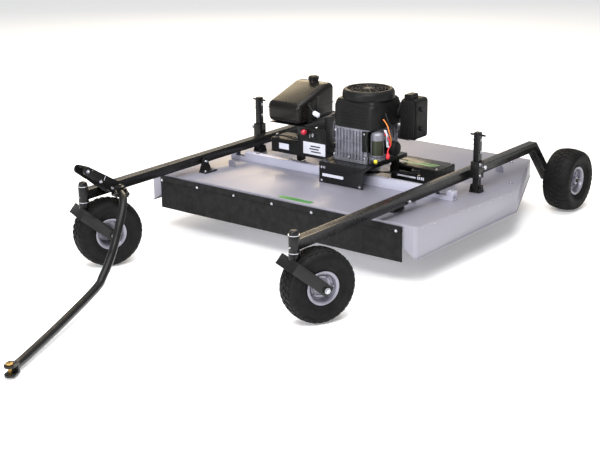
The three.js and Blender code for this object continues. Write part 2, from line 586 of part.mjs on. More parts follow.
// Each pivot bracket stands against the inboard face of its rail.
function addPivotBracket(side, sign) {
  const { y, z, radius } = PIVOT;
  const inboard = sign * (RAIL.x - RAIL.size / 2 - 3);
  const upTo = (reach) => [inboard, inboard - sign * reach].sort((a, b) => a - b);
  const foot = deckTopZ(y - 44) + GAP;
  const upright = slab('x', [[y - 44, foot], [y + 44, foot], ...arc(y, z, 20, 0, 180, 6)], ...upTo(8));
  const base = block(upTo(48), [y - 44, y + 44], [foot, foot + 6]);
  const from = axis(inboard - sign * 18, y, z);
  const to = axis(sign * (RAIL.x + RAIL.size / 2 + 2), y, z);
  place(mower, `${side}_pivot_bracket`, cut(join(upright, base), rod(radius + GAP, from, to, 12)), 'frameBlack');
  const head = rod(11, to, to.clone().add(axis(sign * 8, 0, 0)), 6);
  place(mower, `${side}_pivot_bolt`, join(rod(radius, from, to, 12), head), 'zinc');
}

// ---------------------------------------------------------------- wheels

function tyreProfile(width) {
  const flat = TYRE.radius / Math.cos(Math.PI / TYRE.segments);
  const half = width / 2;
  const { seat } = TYRE;
  return [
    [seat, -48], [88, -52], [112, -half], [140, -half], [flat, -half + 24],
    [flat, half - 24], [140, half], [112, half], [88, 52], [seat, 48], [seat, -48],
  ];
}

function rimProfile() {
  const { flange, barrel, wall, width, hub, bore, hubLength } = RIM;
  const half = width / 2;
  const reach = hubLength / 2;
  const inner = barrel - wall;
  return [
    [bore, -reach], [bore, reach], [hub, reach], [hub, 16], [inner, 24], [inner, half + 4], [flange, half + 4],
    [flange, half], [barrel, half], [barrel, -half], [flange, -half], [flange, -half - 4], [inner, -half - 4],
    [inner, 18], [hub, 10], [hub, -reach], [bore, -reach],
  ];
}

function addWheel(group, prefix, centre, outward, width) {
  const half = Math.PI / TYRE.segments;
  place(group, `${prefix}_tyre`, turned(tyreProfile(width), centre, outward, TYRE.segments, half), 'tyreRubber');
  place(group, `${prefix}_rim`, turned(rimProfile(), centre, outward, RIM.segments), 'rimSilver');
}

// A trailing fork: a crown plate square to two flat arms, a kingpin above it and an axle bolt below.
function addCaster(side, sign) {
  const group = subgroup(sign * RAIL.x, HUB.y, 0, CASTER.swivel);
  const { trail, crownY, crownZ, armInside, armThick, armWidth } = CASTER;
  const axle = axis(0, trail, TYRE.radius);
  const crown = axis(0, crownY, crownZ);
  const down = axle.clone().sub(crown).normalize();
  const length = axle.distanceTo(crown);
  const turn = new THREE.Matrix4().makeRotationX(Math.atan2(down.z, down.y));
  const seat = new THREE.Matrix4().makeTranslation(crown.x, crown.y, crown.z).multiply(turn);

  const reach = armInside + armThick;
  const half = armWidth / 2;
  const plate = moved(block([-reach, reach], [-6, 3], [-half, half]), seat);
  const end = length + 24;
  const arm = [[-6, -half], [end - 7, -half], [end, 7 - half], [end, half - 7], [end - 7, half], [-6, half]];
  const arms = [-reach, armInside].map((x) => moved(slab('x', arm, x, x + armThick), seat));
  const kingpin = rod(HUB.bore - 1, axis(0, 0, crownZ), axis(0, 0, HUB.high + 12), 16);
  const collar = rod(24, axis(0, 0, crownZ - 4), axis(0, 0, HUB.low - 1.2), 16);
  const wheelEnd = axis(armInside - 0.5, trail, TYRE.radius);
  const wheelSpace = rod(TYRE.radius + 4, wheelEnd.clone().setX(-wheelEnd.x), wheelEnd, 24);
  const boltEnd = wheelEnd.clone().setX(reach + 12);
  const bolt = rod(AXLE_RADIUS, boltEnd.clone().setX(-boltEnd.x), boltEnd, 14);
  const heads = [-reach - 10, reach].map((x) => rod(16, boltEnd.clone().setX(x), boltEnd.clone().setX(x + 10), 6));
  const stem = cut(join(kingpin, collar), wheelSpace);
  place(group, `${side}_caster_fork`, join(plate, ...arms, stem, bolt, ...heads), 'frameBlack');

  const kingpinEnd = HUB.high + 12 + GAP;
  const seatZ = HUB.high + 1;
  const inner = HUB.bore;
  const cap = [
    [inner, seatZ], [21.5, seatZ], [21.5, seatZ + 13], [18, seatZ + 18], [0, seatZ + 20], [0, kingpinEnd],
    [inner, kingpinEnd], [inner, seatZ],
  ];
  place(group, `${side}_hub_cap`, turned(cap, axis(0, 0, 0), axis(0, 0, 1), 16), 'frameBlack');
  addWheel(group, `${side}_caster`, axle, axis(1, 0, 0), TYRE.casterWidth);
}

function moved(piece, matrix) {
  const { vertProperties, triVerts } = piece.getMesh();
  const geometry = new THREE.BufferGeometry();
  geometry.setAttribute('position', new THREE.Float32BufferAttribute(vertProperties, 3));
  geometry.setIndex(Array.from(triVerts));
  return solid(geometry, matrix);
}

// ---------------------------------------------------------------- hitch

// A channel that climbs along the left rail and over the caster, with the hitch ears at its lower end.
function addHitchBracket() {
  const { x, y, boss, pin, low, high, ear } = HITCH;
  const outboard = -RAIL.x + RAIL.size / 2 + GAP;
  const plateThick = 8;
  const inboard = outboard + 68;
  const side = [
    ...arc(-672, 500, 20, 70, 250, 6), [-500, 346], [-440, 346], [-440, 384],
  ];
  const plates = [outboard, inboard - plateThick].map((at) => slab('x', side, at, at + plateThick));
  const web = slab('x', [[-664, 519], [-668, 508], [-452, 376], [-440, 376], [-440, 384]], outboard, inboard);
  const earOutline = [[inboard - 2, y + boss], [inboard - 2, y - boss], ...arc(x, y, boss, -90, 90, 8)];
  const ears = [low, high - ear].map((at) => slab('z', earOutline, at, at + ear));
  const swingPin = rod(pin, axis(x, y, low - 6), axis(x, y, high + 8), 14);
  const cheek = block([inboard - plateThick, inboard], [y - boss, y + boss], [low, high]);
  const capWay = rod(30, axis(-RAIL.x, HUB.y, HUB.low - 20), axis(-RAIL.x, HUB.y, HUB.high + 40), 20);
  place(mower, 'hitch_bracket', cut(join(...plates, web, cheek, ...ears, swingPin), capWay), 'frameBlack');
}

function addTongue() {
  const { x: hx, y: hy, boss, pin: hitchPin, low, high, ear } = HITCH;
  const { radius, wall, pinReach, z, pin, yaw, eyeX, eyeY, eyeZ } = TONGUE;
  const lugAngle = -34.7;
  const yoke = subgroup(hx, hy, 0, lugAngle);
  const [yokeLow, yokeHigh] = [low + ear + 0.6, high - ear - 0.6];
  const knuckle = rod(boss - 2, axis(0, 0, yokeLow), axis(0, 0, yokeHigh), 16);
  const bridge = block([10, 24], [-30, 30], [yokeLow, yokeHigh]);
  const cheeks = [-30, 22].map((at) => (
    slab('y', [[12, yokeLow], [pinReach, yokeLow], ...arc(pinReach, z, 16, -60, 90, 6), [12, yokeHigh]], at, at + 8)
  ));
  const lift = rod(pin, axis(pinReach, -36, z), axis(pinReach, 36, z), 12);
  const way = rod(hitchPin + 0.6, axis(0, 0, 300), axis(0, 0, 440), 14);
  place(yoke, 'tongue_yoke', join(cut(join(knuckle, bridge, ...cheeks), way), lift), 'frameBlack');

  const out = axis(Math.cos(THREE.MathUtils.degToRad(lugAngle)), Math.sin(THREE.MathUtils.degToRad(lugAngle)), 0);
  const at = (reach) => axis(hx, hy, z).addScaledVector(out, reach);
  const eye = axis(eyeX, eyeY, eyeZ);
  const ahead = axis(Math.sin(THREE.MathUtils.degToRad(yaw)), -Math.cos(THREE.MathUtils.degToRad(yaw)), 0);
  const neck = 40;
  const path = new THREE.CatmullRomCurve3([
    at(pinReach - 14), at(pinReach), axis(-428, -556, 360), axis(-376, -616, 330), axis(-328, -696, 263),
    axis(-294, -780, 169), axis(-258, -870, 107), axis(-224, -954, 76), axis(-90, -1285, 48),
    eye.clone().addScaledVector(ahead, -neck - 90), eye.clone().addScaledVector(ahead, -neck - 1),
  ], false, 'centripetal');
  const section = new THREE.Shape().absarc(0, 0, radius, 0, Math.PI * 2);
  section.holes.push(new THREE.Path().absarc(0, 0, radius - wall, 0, Math.PI * 2, true));
  const tube = solid(new THREE.ExtrudeGeometry(section, { steps: 16, curveSegments: 5, extrudePath: path }));
  const sideways = axis(-out.y, out.x, 0).multiplyScalar(60);
  const liftWay = rod(pin + 0.6, at(pinReach).sub(sideways), at(pinReach).add(sideways), 12);
  place(mower, 'tongue_tube', cut(tube, liftWay), 'frameBlack');

  const clevis = subgroup(eyeX, eyeY, 0, yaw);
  const outer = 23;
  const web = block([-outer, outer], [neck - 14, neck], [eyeZ - outer, eyeZ + outer]);
  const earOutline = [[-outer, neck - 10], ...arc(0, 0, outer, 180, 360, 10), [outer, neck - 10]];
  const ears = [eyeZ - outer, eyeZ + outer - 9].map((bottom) => slab('z', earOutline, bottom, bottom + 9));
  const pinWay = rod(9, axis(0, 0, 0), axis(0, 0, 90), 14);
  place(clevis, 'hitch_clevis', cut(join(web, ...ears), pinWay), 'frameBlack');
  const [pinLow, shoulder] = [eyeZ - outer - 3, eyeZ + outer + GAP];
  const drawPin = [[0, pinLow], [8, pinLow], [8, shoulder], [15, shoulder], [15, shoulder + 9], [0, shoulder + 9]];
  place(clevis, 'hitch_pin', turned(drawPin, axis(0, 0, 0), axis(0, 0, 1), 12), 'brassPlate');
}

// ---------------------------------------------------------------- the whole mower

addDeck();
addFlap();
addSpindle('left', SPINDLES.left);
addSpindle('right', SPINDLES.right);
addBelt();
addBeltCovers();
addEngineBase();
addCrankcase();
addBlower();
addEngineFittings();
addTank();
addControls();
for (const [side, sign] of [['left', -1], ['right', 1]]) {
  addPivotBracket(side, sign);
  addSideFrame(side, sign);
  addLiftPost(side, sign);
  addCaster(side, sign);
}
addHitchBracket();
addTongue();

export default mower;
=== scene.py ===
"""The looks of a pull-behind brush mower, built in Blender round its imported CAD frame. Metres, +Z up."""

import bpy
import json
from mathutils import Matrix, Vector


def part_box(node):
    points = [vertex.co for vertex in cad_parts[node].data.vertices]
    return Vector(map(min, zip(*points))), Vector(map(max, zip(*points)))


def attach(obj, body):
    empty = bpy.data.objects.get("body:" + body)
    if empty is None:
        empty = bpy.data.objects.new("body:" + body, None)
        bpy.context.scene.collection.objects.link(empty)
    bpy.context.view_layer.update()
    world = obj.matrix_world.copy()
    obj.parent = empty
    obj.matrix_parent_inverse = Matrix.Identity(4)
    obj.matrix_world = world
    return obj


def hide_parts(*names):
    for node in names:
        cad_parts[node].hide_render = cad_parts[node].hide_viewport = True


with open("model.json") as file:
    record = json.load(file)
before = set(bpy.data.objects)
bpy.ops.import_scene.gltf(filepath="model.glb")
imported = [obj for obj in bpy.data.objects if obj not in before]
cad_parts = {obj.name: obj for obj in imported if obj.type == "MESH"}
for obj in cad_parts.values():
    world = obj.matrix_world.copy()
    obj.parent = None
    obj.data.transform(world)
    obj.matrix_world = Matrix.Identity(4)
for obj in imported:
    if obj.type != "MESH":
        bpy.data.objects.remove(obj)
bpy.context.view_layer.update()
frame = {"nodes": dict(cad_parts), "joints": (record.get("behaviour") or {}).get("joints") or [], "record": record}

import json
import math
import random

import bmesh
import bpy
import numpy as np
from mathutils import Matrix, Vector, noise

random.seed(7)

NODES = frame["nodes"]
JOINTS = {joint["name"]: joint for joint in frame["joints"]}
X, Y, Z = Vector((1, 0, 0)), Vector((0, 1, 0)), Vector((0, 0, 1))
SIDES = (("left", -1), ("right", 1))


# ---------------------------------------------------------------- materials

def principled(name, colour, roughness, metallic=0.0, coat=0.0, gleam=0.5):
    material = bpy.data.materials.new(name)
    material.use_nodes = True
    shader = material.node_tree.nodes["Principled BSDF"]
    shader.inputs["Base Color"].default_value = (*colour, 1)
    shader.inputs["Roughness"].default_value = roughness
    shader.inputs["Metallic"].default_value = metallic
    shader.inputs["Specular IOR Level"].default_value = gleam
    shader.inputs["Coat Weight"].default_value = coat
    shader.inputs["Coat Roughness"].default_value = 0.12
    return material, shader


def noise_node(tree, scale, detail=3.0, stretch=(1, 1, 1)):
    coords = tree.nodes.new("ShaderNodeTexCoord")
    mapping = tree.nodes.new("ShaderNodeMapping")
    mapping.inputs["Scale"].default_value = stretch
    texture = tree.nodes.new("ShaderNodeTexNoise")
    texture.inputs["Scale"].default_value = scale
    texture.inputs["Detail"].default_value = detail
    tree.links.new(coords.outputs["Object"], mapping.inputs["Vector"])
    tree.links.new(mapping.outputs["Vector"], texture.inputs["Vector"])
    return texture.outputs["Fac"]


def ramp(tree, factor, stops):
    node = tree.nodes.new("ShaderNodeValToRGB")
    elements = node.color_ramp.elements
    while len(elements) < len(stops):
        elements.new(0.5)
    for element, (place, colour) in zip(elements, stops):
        element.position = place
        element.color = (*colour, 1)
    tree.links.new(factor, node.inputs["Fac"])
    return node.outputs["Color"]


def spread(tree, factor, low, high):
    node = tree.nodes.new("ShaderNodeMapRange")
    node.inputs["From Min"].default_value = 0.3
    node.inputs["From Max"].default_value = 0.7
    node.inputs["To Min"].default_value = low
    node.inputs["To Max"].default_value = high
    tree.links.new(factor, node.inputs["Value"])
    return node.outputs["Result"]


def surface(name, colour, roughness, metallic=0.0, coat=0.0, mottle=0.15, mottle_scale=9.0,
            grain_scale=300.0, grain=0.1, stretch=(1, 1, 1), tint=None, gleam=0.5):
    """A finish with uneven colour, uneven gloss and a fine grain."""
    material, shader = principled(name, colour, roughness, metallic, coat, gleam)
    tree = material.node_tree
    dark = tuple(c * (1 - mottle) for c in colour)
    light = tuple(min(1.0, c * (1 + mottle)) for c in (tint or colour))
    broad = noise_node(tree, mottle_scale, 4.0, stretch)
    tree.links.new(ramp(tree, broad, [(0.3, dark), (0.7, light)]), shader.inputs["Base Color"])
    gloss = noise_node(tree, mottle_scale * 2.3, 5.0, stretch)
    tree.links.new(spread(tree, gloss, roughness * 0.85, min(1.0, roughness * 1.2)), shader.inputs["Roughness"])
    bump = tree.nodes.new("ShaderNodeBump")
    bump.inputs["Strength"].default_value = grain
    bump.inputs["Distance"].default_value = 0.0006
    tree.links.new(noise_node(tree, grain_scale, 2.0), bump.inputs["Height"])
    tree.links.new(bump.outputs["Normal"], shader.inputs["Normal"])
    return material


LOOK = {
    "frame_black": surface("gloss_black_powder_coat", (0.008, 0.008, 0.008), 0.28, 0.0, 0.06, 0.3, 6, 420, 0.12,
                           gleam=0.2),
    "deck_silver": surface("satin_silver_paint", (0.245, 0.240, 0.290), 0.42, 0.3, 0.05, 0.07, 2.2, 500, 0.06,
                           (1, 0.25, 1), tint=(0.270, 0.262, 0.305)),
    "engine_plastic": surface("grained_black_plastic", (0.008, 0.008, 0.008), 0.40, 0.0, 0.0, 0.25, 12, 900, 0.3,
                              gleam=0.16),
    "cast_aluminium": surface("cast_aluminium", (0.25, 0.25, 0.29), 0.42, 0.7, 0.0, 0.25, 25, 700, 0.45),
    "steel": surface("machined_steel", (0.26, 0.26, 0.27), 0.34, 0.9, 0.0, 0.15, 14, 500, 0.12, (1, 1, 9)),
    "zinc": surface("bright_zinc_plate", (0.50, 0.50, 0.54), 0.26, 0.9, 0.0, 0.12, 30, 600, 0.08),
    "rim_silver": surface("silver_wheel_paint", (0.24, 0.235, 0.28), 0.36, 0.5, 0.1, 0.2, 16, 600, 0.08),
    "tyre_rubber": surface("tyre_rubber", (0.007, 0.007, 0.007), 0.60, 0.0, 0.0, 0.3, 18, 800, 0.35, gleam=0.12),
    "flap_rubber": surface("reinforced_rubber_sheet", (0.012, 0.012, 0.012), 0.62, 0.0, 0.0, 0.3, 30, 260, 0.5,
                           gleam=0.1),
    "tank_plastic": surface("blow_moulded_plastic", (0.008, 0.007, 0.006), 0.26, 0.0, 0.05, 0.3, 5, 350, 0.1,
                            gleam=0.2),
    "red_plastic": surface("red_plastic", (0.42, 0.008, 0.03), 0.25, 0.0, 0.3, 0.1, 20, 500, 0.05),
    "brass_plate": surface("yellow_zinc_plate", (0.45, 0.29, 0.09), 0.3, 0.9, 0.0, 0.2, 25, 500, 0.1),
    "olive_steel": surface("olive_painted_steel", (0.035, 0.04, 0.022), 0.4, 0.4, 0.0, 0.2, 20, 500, 0.15),
}
PALE_SILVER = surface("pale_silver_paint", (0.50, 0.50, 0.60), 0.4, 0.2, 0.05, 0.07, 3, 500, 0.06)
GREEN = surface("green_label", (0.035, 0.20, 0.03), 0.35, 0.0, 0.2, 0.1, 15, 600, 0.04)
WHITE = surface("pale_label", (0.60, 0.61, 0.68), 0.4, 0.0, 0.1, 0.08, 20, 600, 0.04)
YELLOW = surface("yellow_plastic", (0.78, 0.66, 0.03), 0.35, 0.0, 0.2, 0.1, 20, 600, 0.05)
ORANGE = surface("orange_wire", (0.80, 0.22, 0.03), 0.4, 0.0, 0.0, 0.1, 20, 600, 0.05)
RED_WIRE = surface("red_wire", (0.66, 0.02, 0.03), 0.4, 0.0, 0.0, 0.1, 20, 600, 0.05)
HOSE = surface("black_hose", (0.012, 0.012, 0.012), 0.5, 0.0, 0.0, 0.2, 20, 600, 0.1, gleam=0.3)


# ---------------------------------------------------------------- solids

def basis(origin, direction, hint=Z):
    """A matrix whose local Z lies along direction, at origin."""
    z = Vector(direction).normalized()
    helper = hint if abs(z.dot(hint)) < 0.95 else X
    x = helper.cross(z).normalized()
    y = z.cross(x)
    matrix = Matrix((x, y, z)).transposed().to_4x4()
    matrix.translation = Vector(origin)
    return matrix


class Form:
    """Closed solids gathered into one mesh."""

    def __init__(self):
        self.points = []
        self.faces = []

    def add(self, points, faces, matrix=Matrix()):
        start = len(self.points)
        self.points += [matrix @ Vector(point) for point in points]
        self.faces += [[start + i for i in face] for face in faces]
        return self

    def box(self, low, high, matrix=Matrix()):
        points = [(x, y, z) for x in (low[0], high[0]) for y in (low[1], high[1]) for z in (low[2], high[2])]
        faces = [(0, 1, 3, 2), (4, 6, 7, 5), (0, 4, 5, 1), (2, 3, 7, 6), (0, 2, 6, 4), (1, 5, 7, 3)]
        return self.add(points, faces, matrix)

    def prism(self, outline, low, high, matrix=Matrix()):
        """An outline in local XY, thickened along local Z."""
        count = len(outline)
        points = [(x, y, low) for x, y in outline] + [(x, y, high) for x, y in outline]
        faces = [list(range(count))[::-1], list(range(count, 2 * count))]
        faces += [(i, (i + 1) % count, count + (i + 1) % count, count + i) for i in range(count)]
        return self.add(points, faces, matrix)

    def lathe(self, profile, matrix=Matrix(), segments=32):
        """A profile of (radius, height) turned about local Z. It starts and ends on the axis, or closes."""
        closed = profile[0][0] > 1e-6
        if closed and profile[0] == profile[-1]:
            profile = profile[:-1]
        points, rings = [], []
        for radius, height in profile:
            if radius < 1e-6:
                rings.append([len(points)] * segments)
                points.append((0, 0, height))
                continue
            rings.append(list(range(len(points), len(points) + segments)))
            for i in range(segments):
                turn = 2 * math.pi * i / segments
                points.append((radius * math.cos(turn), radius * math.sin(turn), height))
        pairs = list(zip(rings, rings[1:] + rings[:1])) if closed else list(zip(rings, rings[1:]))
        faces = []
        for low, high in pairs:
            for i in range(segments):
                j = (i + 1) % segments
                face = list(dict.fromkeys((low[i], low[j], high[j], high[i])))
                if len(face) > 2:
                    faces.append(face)
        return self.add(points, faces, matrix)

    def tube(self, path, radius, sides=12):
        """A round bar along a line of points."""
        path = [Vector(point) for point in path]
        normal = (path[1] - path[0]).orthogonal().normalized()
        rings = []
        for i, point in enumerate(path):
            tangent = (path[min(i + 1, len(path) - 1)] - path[max(i - 1, 0)]).normalized()
            normal = (normal - tangent * normal.dot(tangent)).normalized()
            across = tangent.cross(normal)
            turns = [2 * math.pi * k / sides for k in range(sides)]
            rings.append([point + (normal * math.cos(a) + across * math.sin(a)) * radius for a in turns])
        points = [point for ring in rings for point in ring]
        faces = [list(range(sides))[::-1], [len(points) - sides + k for k in range(sides)]]
        for i in range(len(rings) - 1):
            for k in range(sides):
                j = (k + 1) % sides
                faces.append((i * sides + k, i * sides + j, (i + 1) * sides + j, (i + 1) * sides + k))
        return self.add(points, faces)

    def bolt(self, place, direction, size=0.008, washer=True):
        """A hexagon head on a washer, standing on a surface."""
        matrix = basis(place, direction)
        if washer:
            self.lathe([(0, 0), (size * 1.25, 0), (size * 1.25, size * 0.2), (0, size * 0.2)], matrix, 20)
        turns = [k * math.pi / 3 for k in range(6)]
        hexagon = [(size * 0.95 * math.cos(a), size * 0.95 * math.sin(a)) for a in turns]
        self.prism(hexagon, size * 0.2, size * 0.85, matrix)
        return self.lathe([(0, size * 0.8), (size * 0.6, size * 0.8), (size * 0.3, size * 1.15), (0, size * 1.2)],
                          matrix, 12)


def smooth_line(points, steps=6):
    """A Catmull-Rom line through points."""
    points = [Vector(point) for point in points]
    padded = [points[0] * 2 - points[1], *points, points[-1] * 2 - points[-2]]
    line = []
    for a, b, c, d in zip(padded, padded[1:], padded[2:], padded[3:]):
        for i in range(steps):
            t = i / steps
            line.append(0.5 * ((2 * b) + (c - a) * t + (2 * a - 5 * b + 4 * c - d) * t * t
                               + (3 * b - a - 3 * c + d) * t ** 3))
    return line + [points[-1]]


def rounded_rectangle(x, y, radius, steps=5):
    outline = []
    corners = ((x[1] - radius, y[0] + radius, -90), (x[1] - radius, y[1] - radius, 0),
               (x[0] + radius, y[1] - radius, 90), (x[0] + radius, y[0] + radius, 180))
    for cx, cy, start in corners:
        for i in range(steps + 1):
            turn = math.radians(start + 90 * i / steps)
            outline.append((cx + radius * math.cos(turn), cy + radius * math.sin(turn)))
    return outline


def piece(name, form, look, body, bevel=0.0, replaces=(), angle=35):
    """Makes one Blender object of a form, and rides it on a body. A look is a slot's name or a material."""
    mesh = bpy.data.meshes.new(name)
    mesh.from_pydata([tuple(point) for point in form.points], [], form.faces)
    work = bmesh.new()
    work.from_mesh(mesh)
    bmesh.ops.recalc_face_normals(work, faces=work.faces)
    work.to_mesh(mesh)
    work.free()
    dress(name, mesh, look, body, bevel, replaces, angle)


def dress(name, mesh, look, body, bevel, replaces, angle):
    """Gives a mesh its shading and its look, and rides it on a body."""
    mesh.polygons.foreach_set("use_smooth", [True] * len(mesh.polygons))
    mesh.set_sharp_from_angle(angle=math.radians(angle))
    slot = look if isinstance(look, str) else None
    mesh.materials.append(LOOK[slot] if slot else look)
    shape = bpy.data.objects.new(name, mesh)
    bpy.context.scene.collection.objects.link(shape)
    if bevel:
        soften(shape, bevel)
    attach(shape, body)
    if replaces:
        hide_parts(*replaces)


def soften(shape, width):
    bevel = shape.modifiers.new("soft_edges", "BEVEL")
    bevel.width = width
    bevel.segments = 2
    bevel.limit_method = "ANGLE"
    bevel.angle_limit = math.radians(32)
    bevel.harden_normals = True


# ---------------------------------------------------------------- CAD nodes that stay

BEVELS = {
    "deck_shell": 0.003, "deck_cross_channel": 0.0015, "engine_base": 0.002, "belt_cover_left": 0.003,
    "belt_cover_right": 0.003, "left_side_frame": 0.003, "right_side_frame": 0.003, "hitch_bracket": 0.002,
    "tank_bracket": 0.0015, "control_panel": 0.001, "battery": 0.003, "left_lift_post": 0.002,
    "right_lift_post": 0.002, "left_caster_fork": 0.0015, "right_caster_fork": 0.0015,
}


def finish_cad_nodes():
    """Every CAD node gets its finish, flat faces made whole, and small round edges."""
    slots = {row["node"]: row["material_slot"] for row in frame["record"]["subparts"]}
    for name, node in NODES.items():
        node.data.materials.clear()
        node.data.materials.append(PALE_SILVER if name == "deck_cross_channel" else LOOK[slots[name]])
        node.data.polygons.foreach_set("use_smooth", [True] * len(node.data.polygons))
        weld = node.modifiers.new("one_skin", "WELD")
        weld.merge_threshold = 0.00002
        whole = node.modifiers.new("whole_faces", "DECIMATE")
        whole.decimate_type = "DISSOLVE"
        whole.angle_limit = math.radians(1)
        soften(node, BEVELS.get(name, 0.0008))


# ---------------------------------------------------------------- wheels

TYRE_RADIUS = 0.165
CASTER_TYRE_HALF, REAR_TYRE_HALF = 0.0635, 0.075
TREAD_ROWS = 34


def tyre_form(matrix, half):
    """A carcass with a rounded crown, and blocks in staggered rows that wrap onto the shoulders."""
    form = Form()
    wider = half / CASTER_TYRE_HALF
    crown = []
    for i in range(13):
        across = -1 + i / 6
        crown.append((TYRE_RADIUS - 0.005 - 0.030 * abs(across) ** 2.6,
                      half * 0.99 * math.sin(across * math.pi / 2)))
    side = [(0.116, 0.0626, 1.0), (0.104, 0.0605, 1.0), (0.1035, 0.0618, 1.0), (0.0995, 0.0612, 0.9),
            (0.099, 0.059, 0.9), (0.088, 0.0535, 0.6), (0.080, 0.0510, 0.2), (0.071, 0.0475, 0.0)]
    side = [(r, w * (1 + (wider - 1) * share)) for r, w, share in side]
    profile = [(r, -w) for r, w in side[::-1]] + crown + side
    form.lathe([*profile, profile[0]], matrix, 72)
    step = 2 * math.pi / TREAD_ROWS
    for i in range(TREAD_ROWS):
        turn = step * i
        add_block(form, matrix, turn, step * 0.62, 0.002 * wider, 0.017 * wider, 0.20)
        add_block(form, matrix, turn + step / 2, step * 0.62, -0.017 * wider, -0.002 * wider, -0.20)
        for sign in (-1, 1):
            add_block(form, matrix, turn + step * 0.25, step * 0.66, sign * 0.022 * wider, sign * 0.042 * wider,
                      0.25 * sign)
            add_shoulder(form, matrix, turn + step * (0.25 if sign > 0 else 0.75), step * 0.6, sign, wider)
    return form


def on_tyre(turn, radius, across):
    return (radius * math.cos(turn), radius * math.sin(turn), across)


def add_block(form, matrix, turn, width, low, high, lean):
    """One tread block, from the carcass up to the running surface."""
    floor = TYRE_RADIUS - 0.012
    points = []
    for radius, grow in ((floor, 1.0), (None, 0.86)):
        for across in (low, high):
            middle = turn + lean * (across - (low + high) / 2) / 0.02 * width
            top = TYRE_RADIUS - 0.0012 - 2.6 * across ** 2
            for end in (-0.5, 0.5):
                points.append(on_tyre(middle + end * width * grow, radius or top, across))
    form.add(points, [(0, 1, 3, 2), (4, 6, 7, 5), (0, 4, 5, 1), (2, 3, 7, 6), (0, 2, 6, 4), (1, 5, 7, 3)], matrix)


def add_shoulder(form, matrix, turn, width, sign, wider):
    """A lug that runs from the crown's edge down onto the sidewall."""
    section = [(0.1565, 0.046), (0.1495, 0.0570), (0.138, 0.0632), (0.136, 0.060), (0.146, 0.050), (0.150, 0.044)]
    points = []
    for end in (-0.5, 0.5):
        points += [on_tyre(turn + end * width * (1.0 if k < 3 else 1.15), r, sign * w * wider)
                   for k, (r, w) in enumerate(section)]
    count = len(section)
    faces = [list(range(count))[::-1], list(range(count, 2 * count))]
    faces += [(i, (i + 1) % count, count + (i + 1) % count, count + i) for i in range(count)]
    form.add(points, faces, matrix)


def rim_form(matrix):
    """A pressed two-piece rim: rolled edge, stepped dish, hub with a bearing, and a ring of bolts."""
    form = Form()
    dish = [
        (0.0108, -0.050), (0.0108, 0.050), (0.0195, 0.050), (0.0205, 0.047), (0.0205, 0.031), (0.027, 0.026),
        (0.034, 0.0245), (0.038, 0.029), (0.047, 0.030), (0.051, 0.026), (0.0565, 0.030), (0.0590, 0.044),
        (0.0630, 0.0525), (0.0700, 0.0555), (0.0740, 0.0555), (0.0755, 0.054), (0.0745, 0.0515), (0.069, 0.0505),
        (0.065, 0.046), (0.0645, 0.0), (0.065, -0.046), (0.069, -0.0505), (0.0745, -0.0515), (0.0755, -0.054),
        (0.0740, -0.0555), (0.0700, -0.0555), (0.0630, -0.0525), (0.0590, -0.045), (0.0565, -0.020), (0.052, 0.018),
        (0.038, 0.020), (0.027, 0.018), (0.0205, 0.014), (0.0205, -0.047), (0.0195, -0.050), (0.0108, -0.050),
    ]
    form.lathe(dish, matrix, 64)
    for k in range(4):
        turn = math.pi / 4 + k * math.pi / 2
        place = matrix @ Vector((0.0425 * math.cos(turn), 0.0425 * math.sin(turn), 0.0293))
        form.bolt(place, matrix.to_3x3() @ Z, 0.0055)
    stem = matrix @ Matrix.Translation((0.0545, 0, 0.029)) @ Matrix.Rotation(math.radians(-12), 4, "Y")
    form.lathe([(0, 0), (0.0042, 0), (0.0036, 0.010), (0.0036, 0.019), (0.0028, 0.020), (0, 0.020)], stem, 14)
    return form


def make_wheel(prefix, joint, half):
    spin = JOINTS[joint]
    centre, axis = Vector(spin["pos_m"]), Vector(spin["axis"])
    outward = axis if axis.x * centre.x > 0 else -axis
    matrix = basis(centre, outward)
    body = spin["child"]
    piece(f"{prefix}_tyre_treaded", tyre_form(matrix, half), "tyre_rubber", body, 0.0, [f"{prefix}_tyre"], angle=28)
    piece(f"{prefix}_rim_pressed", rim_form(matrix), "rim_silver", body, 0.0, [f"{prefix}_rim"], angle=40)
    if "rear" in prefix:
        nuts = Form()
        for end in (-1, 1):
            nuts.bolt(centre + outward * end * 0.0502, outward * end, 0.0095)
        piece(f"{prefix}_axle_nuts", nuts, "zinc", body, 0.0006)


# ---------------------------------------------------------------- side frames and casters

HUB_LOW, HUB_HIGH = 0.326, 0.402


def make_hub(side):
    """A low black cap on the kingpin, bright rings at the hub's two ends and a grease nipple."""
    swivel = JOINTS[f"{side}_caster_swivel"]
    x, y = swivel["pos_m"][:2]
    low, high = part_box(f"{side}_hub_cap")
    base = Matrix.Translation((x, y, 0))
    cap = Form().lathe([
        (0, high.z), (0.012, high.z - 0.0008), (0.018, high.z - 0.004), (0.0212, high.z - 0.0105),
        (0.0215, low.z + 0.003), (0.0205, low.z + 0.0005), (0, low.z + 0.0005),
    ], base, 32)
    piece(f"{side}_hub_dome", cap, "frame_black", swivel["child"], 0.0, [f"{side}_hub_cap"])
    rings = Form()
    for height, radius in ((HUB_LOW - 0.0020, 0.0262), (HUB_HIGH - 0.0018, 0.0250)):
        rings.lathe([(0.0145, height), (radius, height), (radius, height + 0.0028), (0.0145, height + 0.0028),
                     (0.0145, height)], base, 28)
    rings.lathe([(0, 0), (0.004, 0), (0.004, 0.005), (0.002, 0.007), (0.0028, 0.010), (0, 0.011)],
                basis((x, y - 0.0236, 0.352), -Y), 12)
    piece(f"{side}_hub_rings", rings, "zinc", f"{side}_frame")


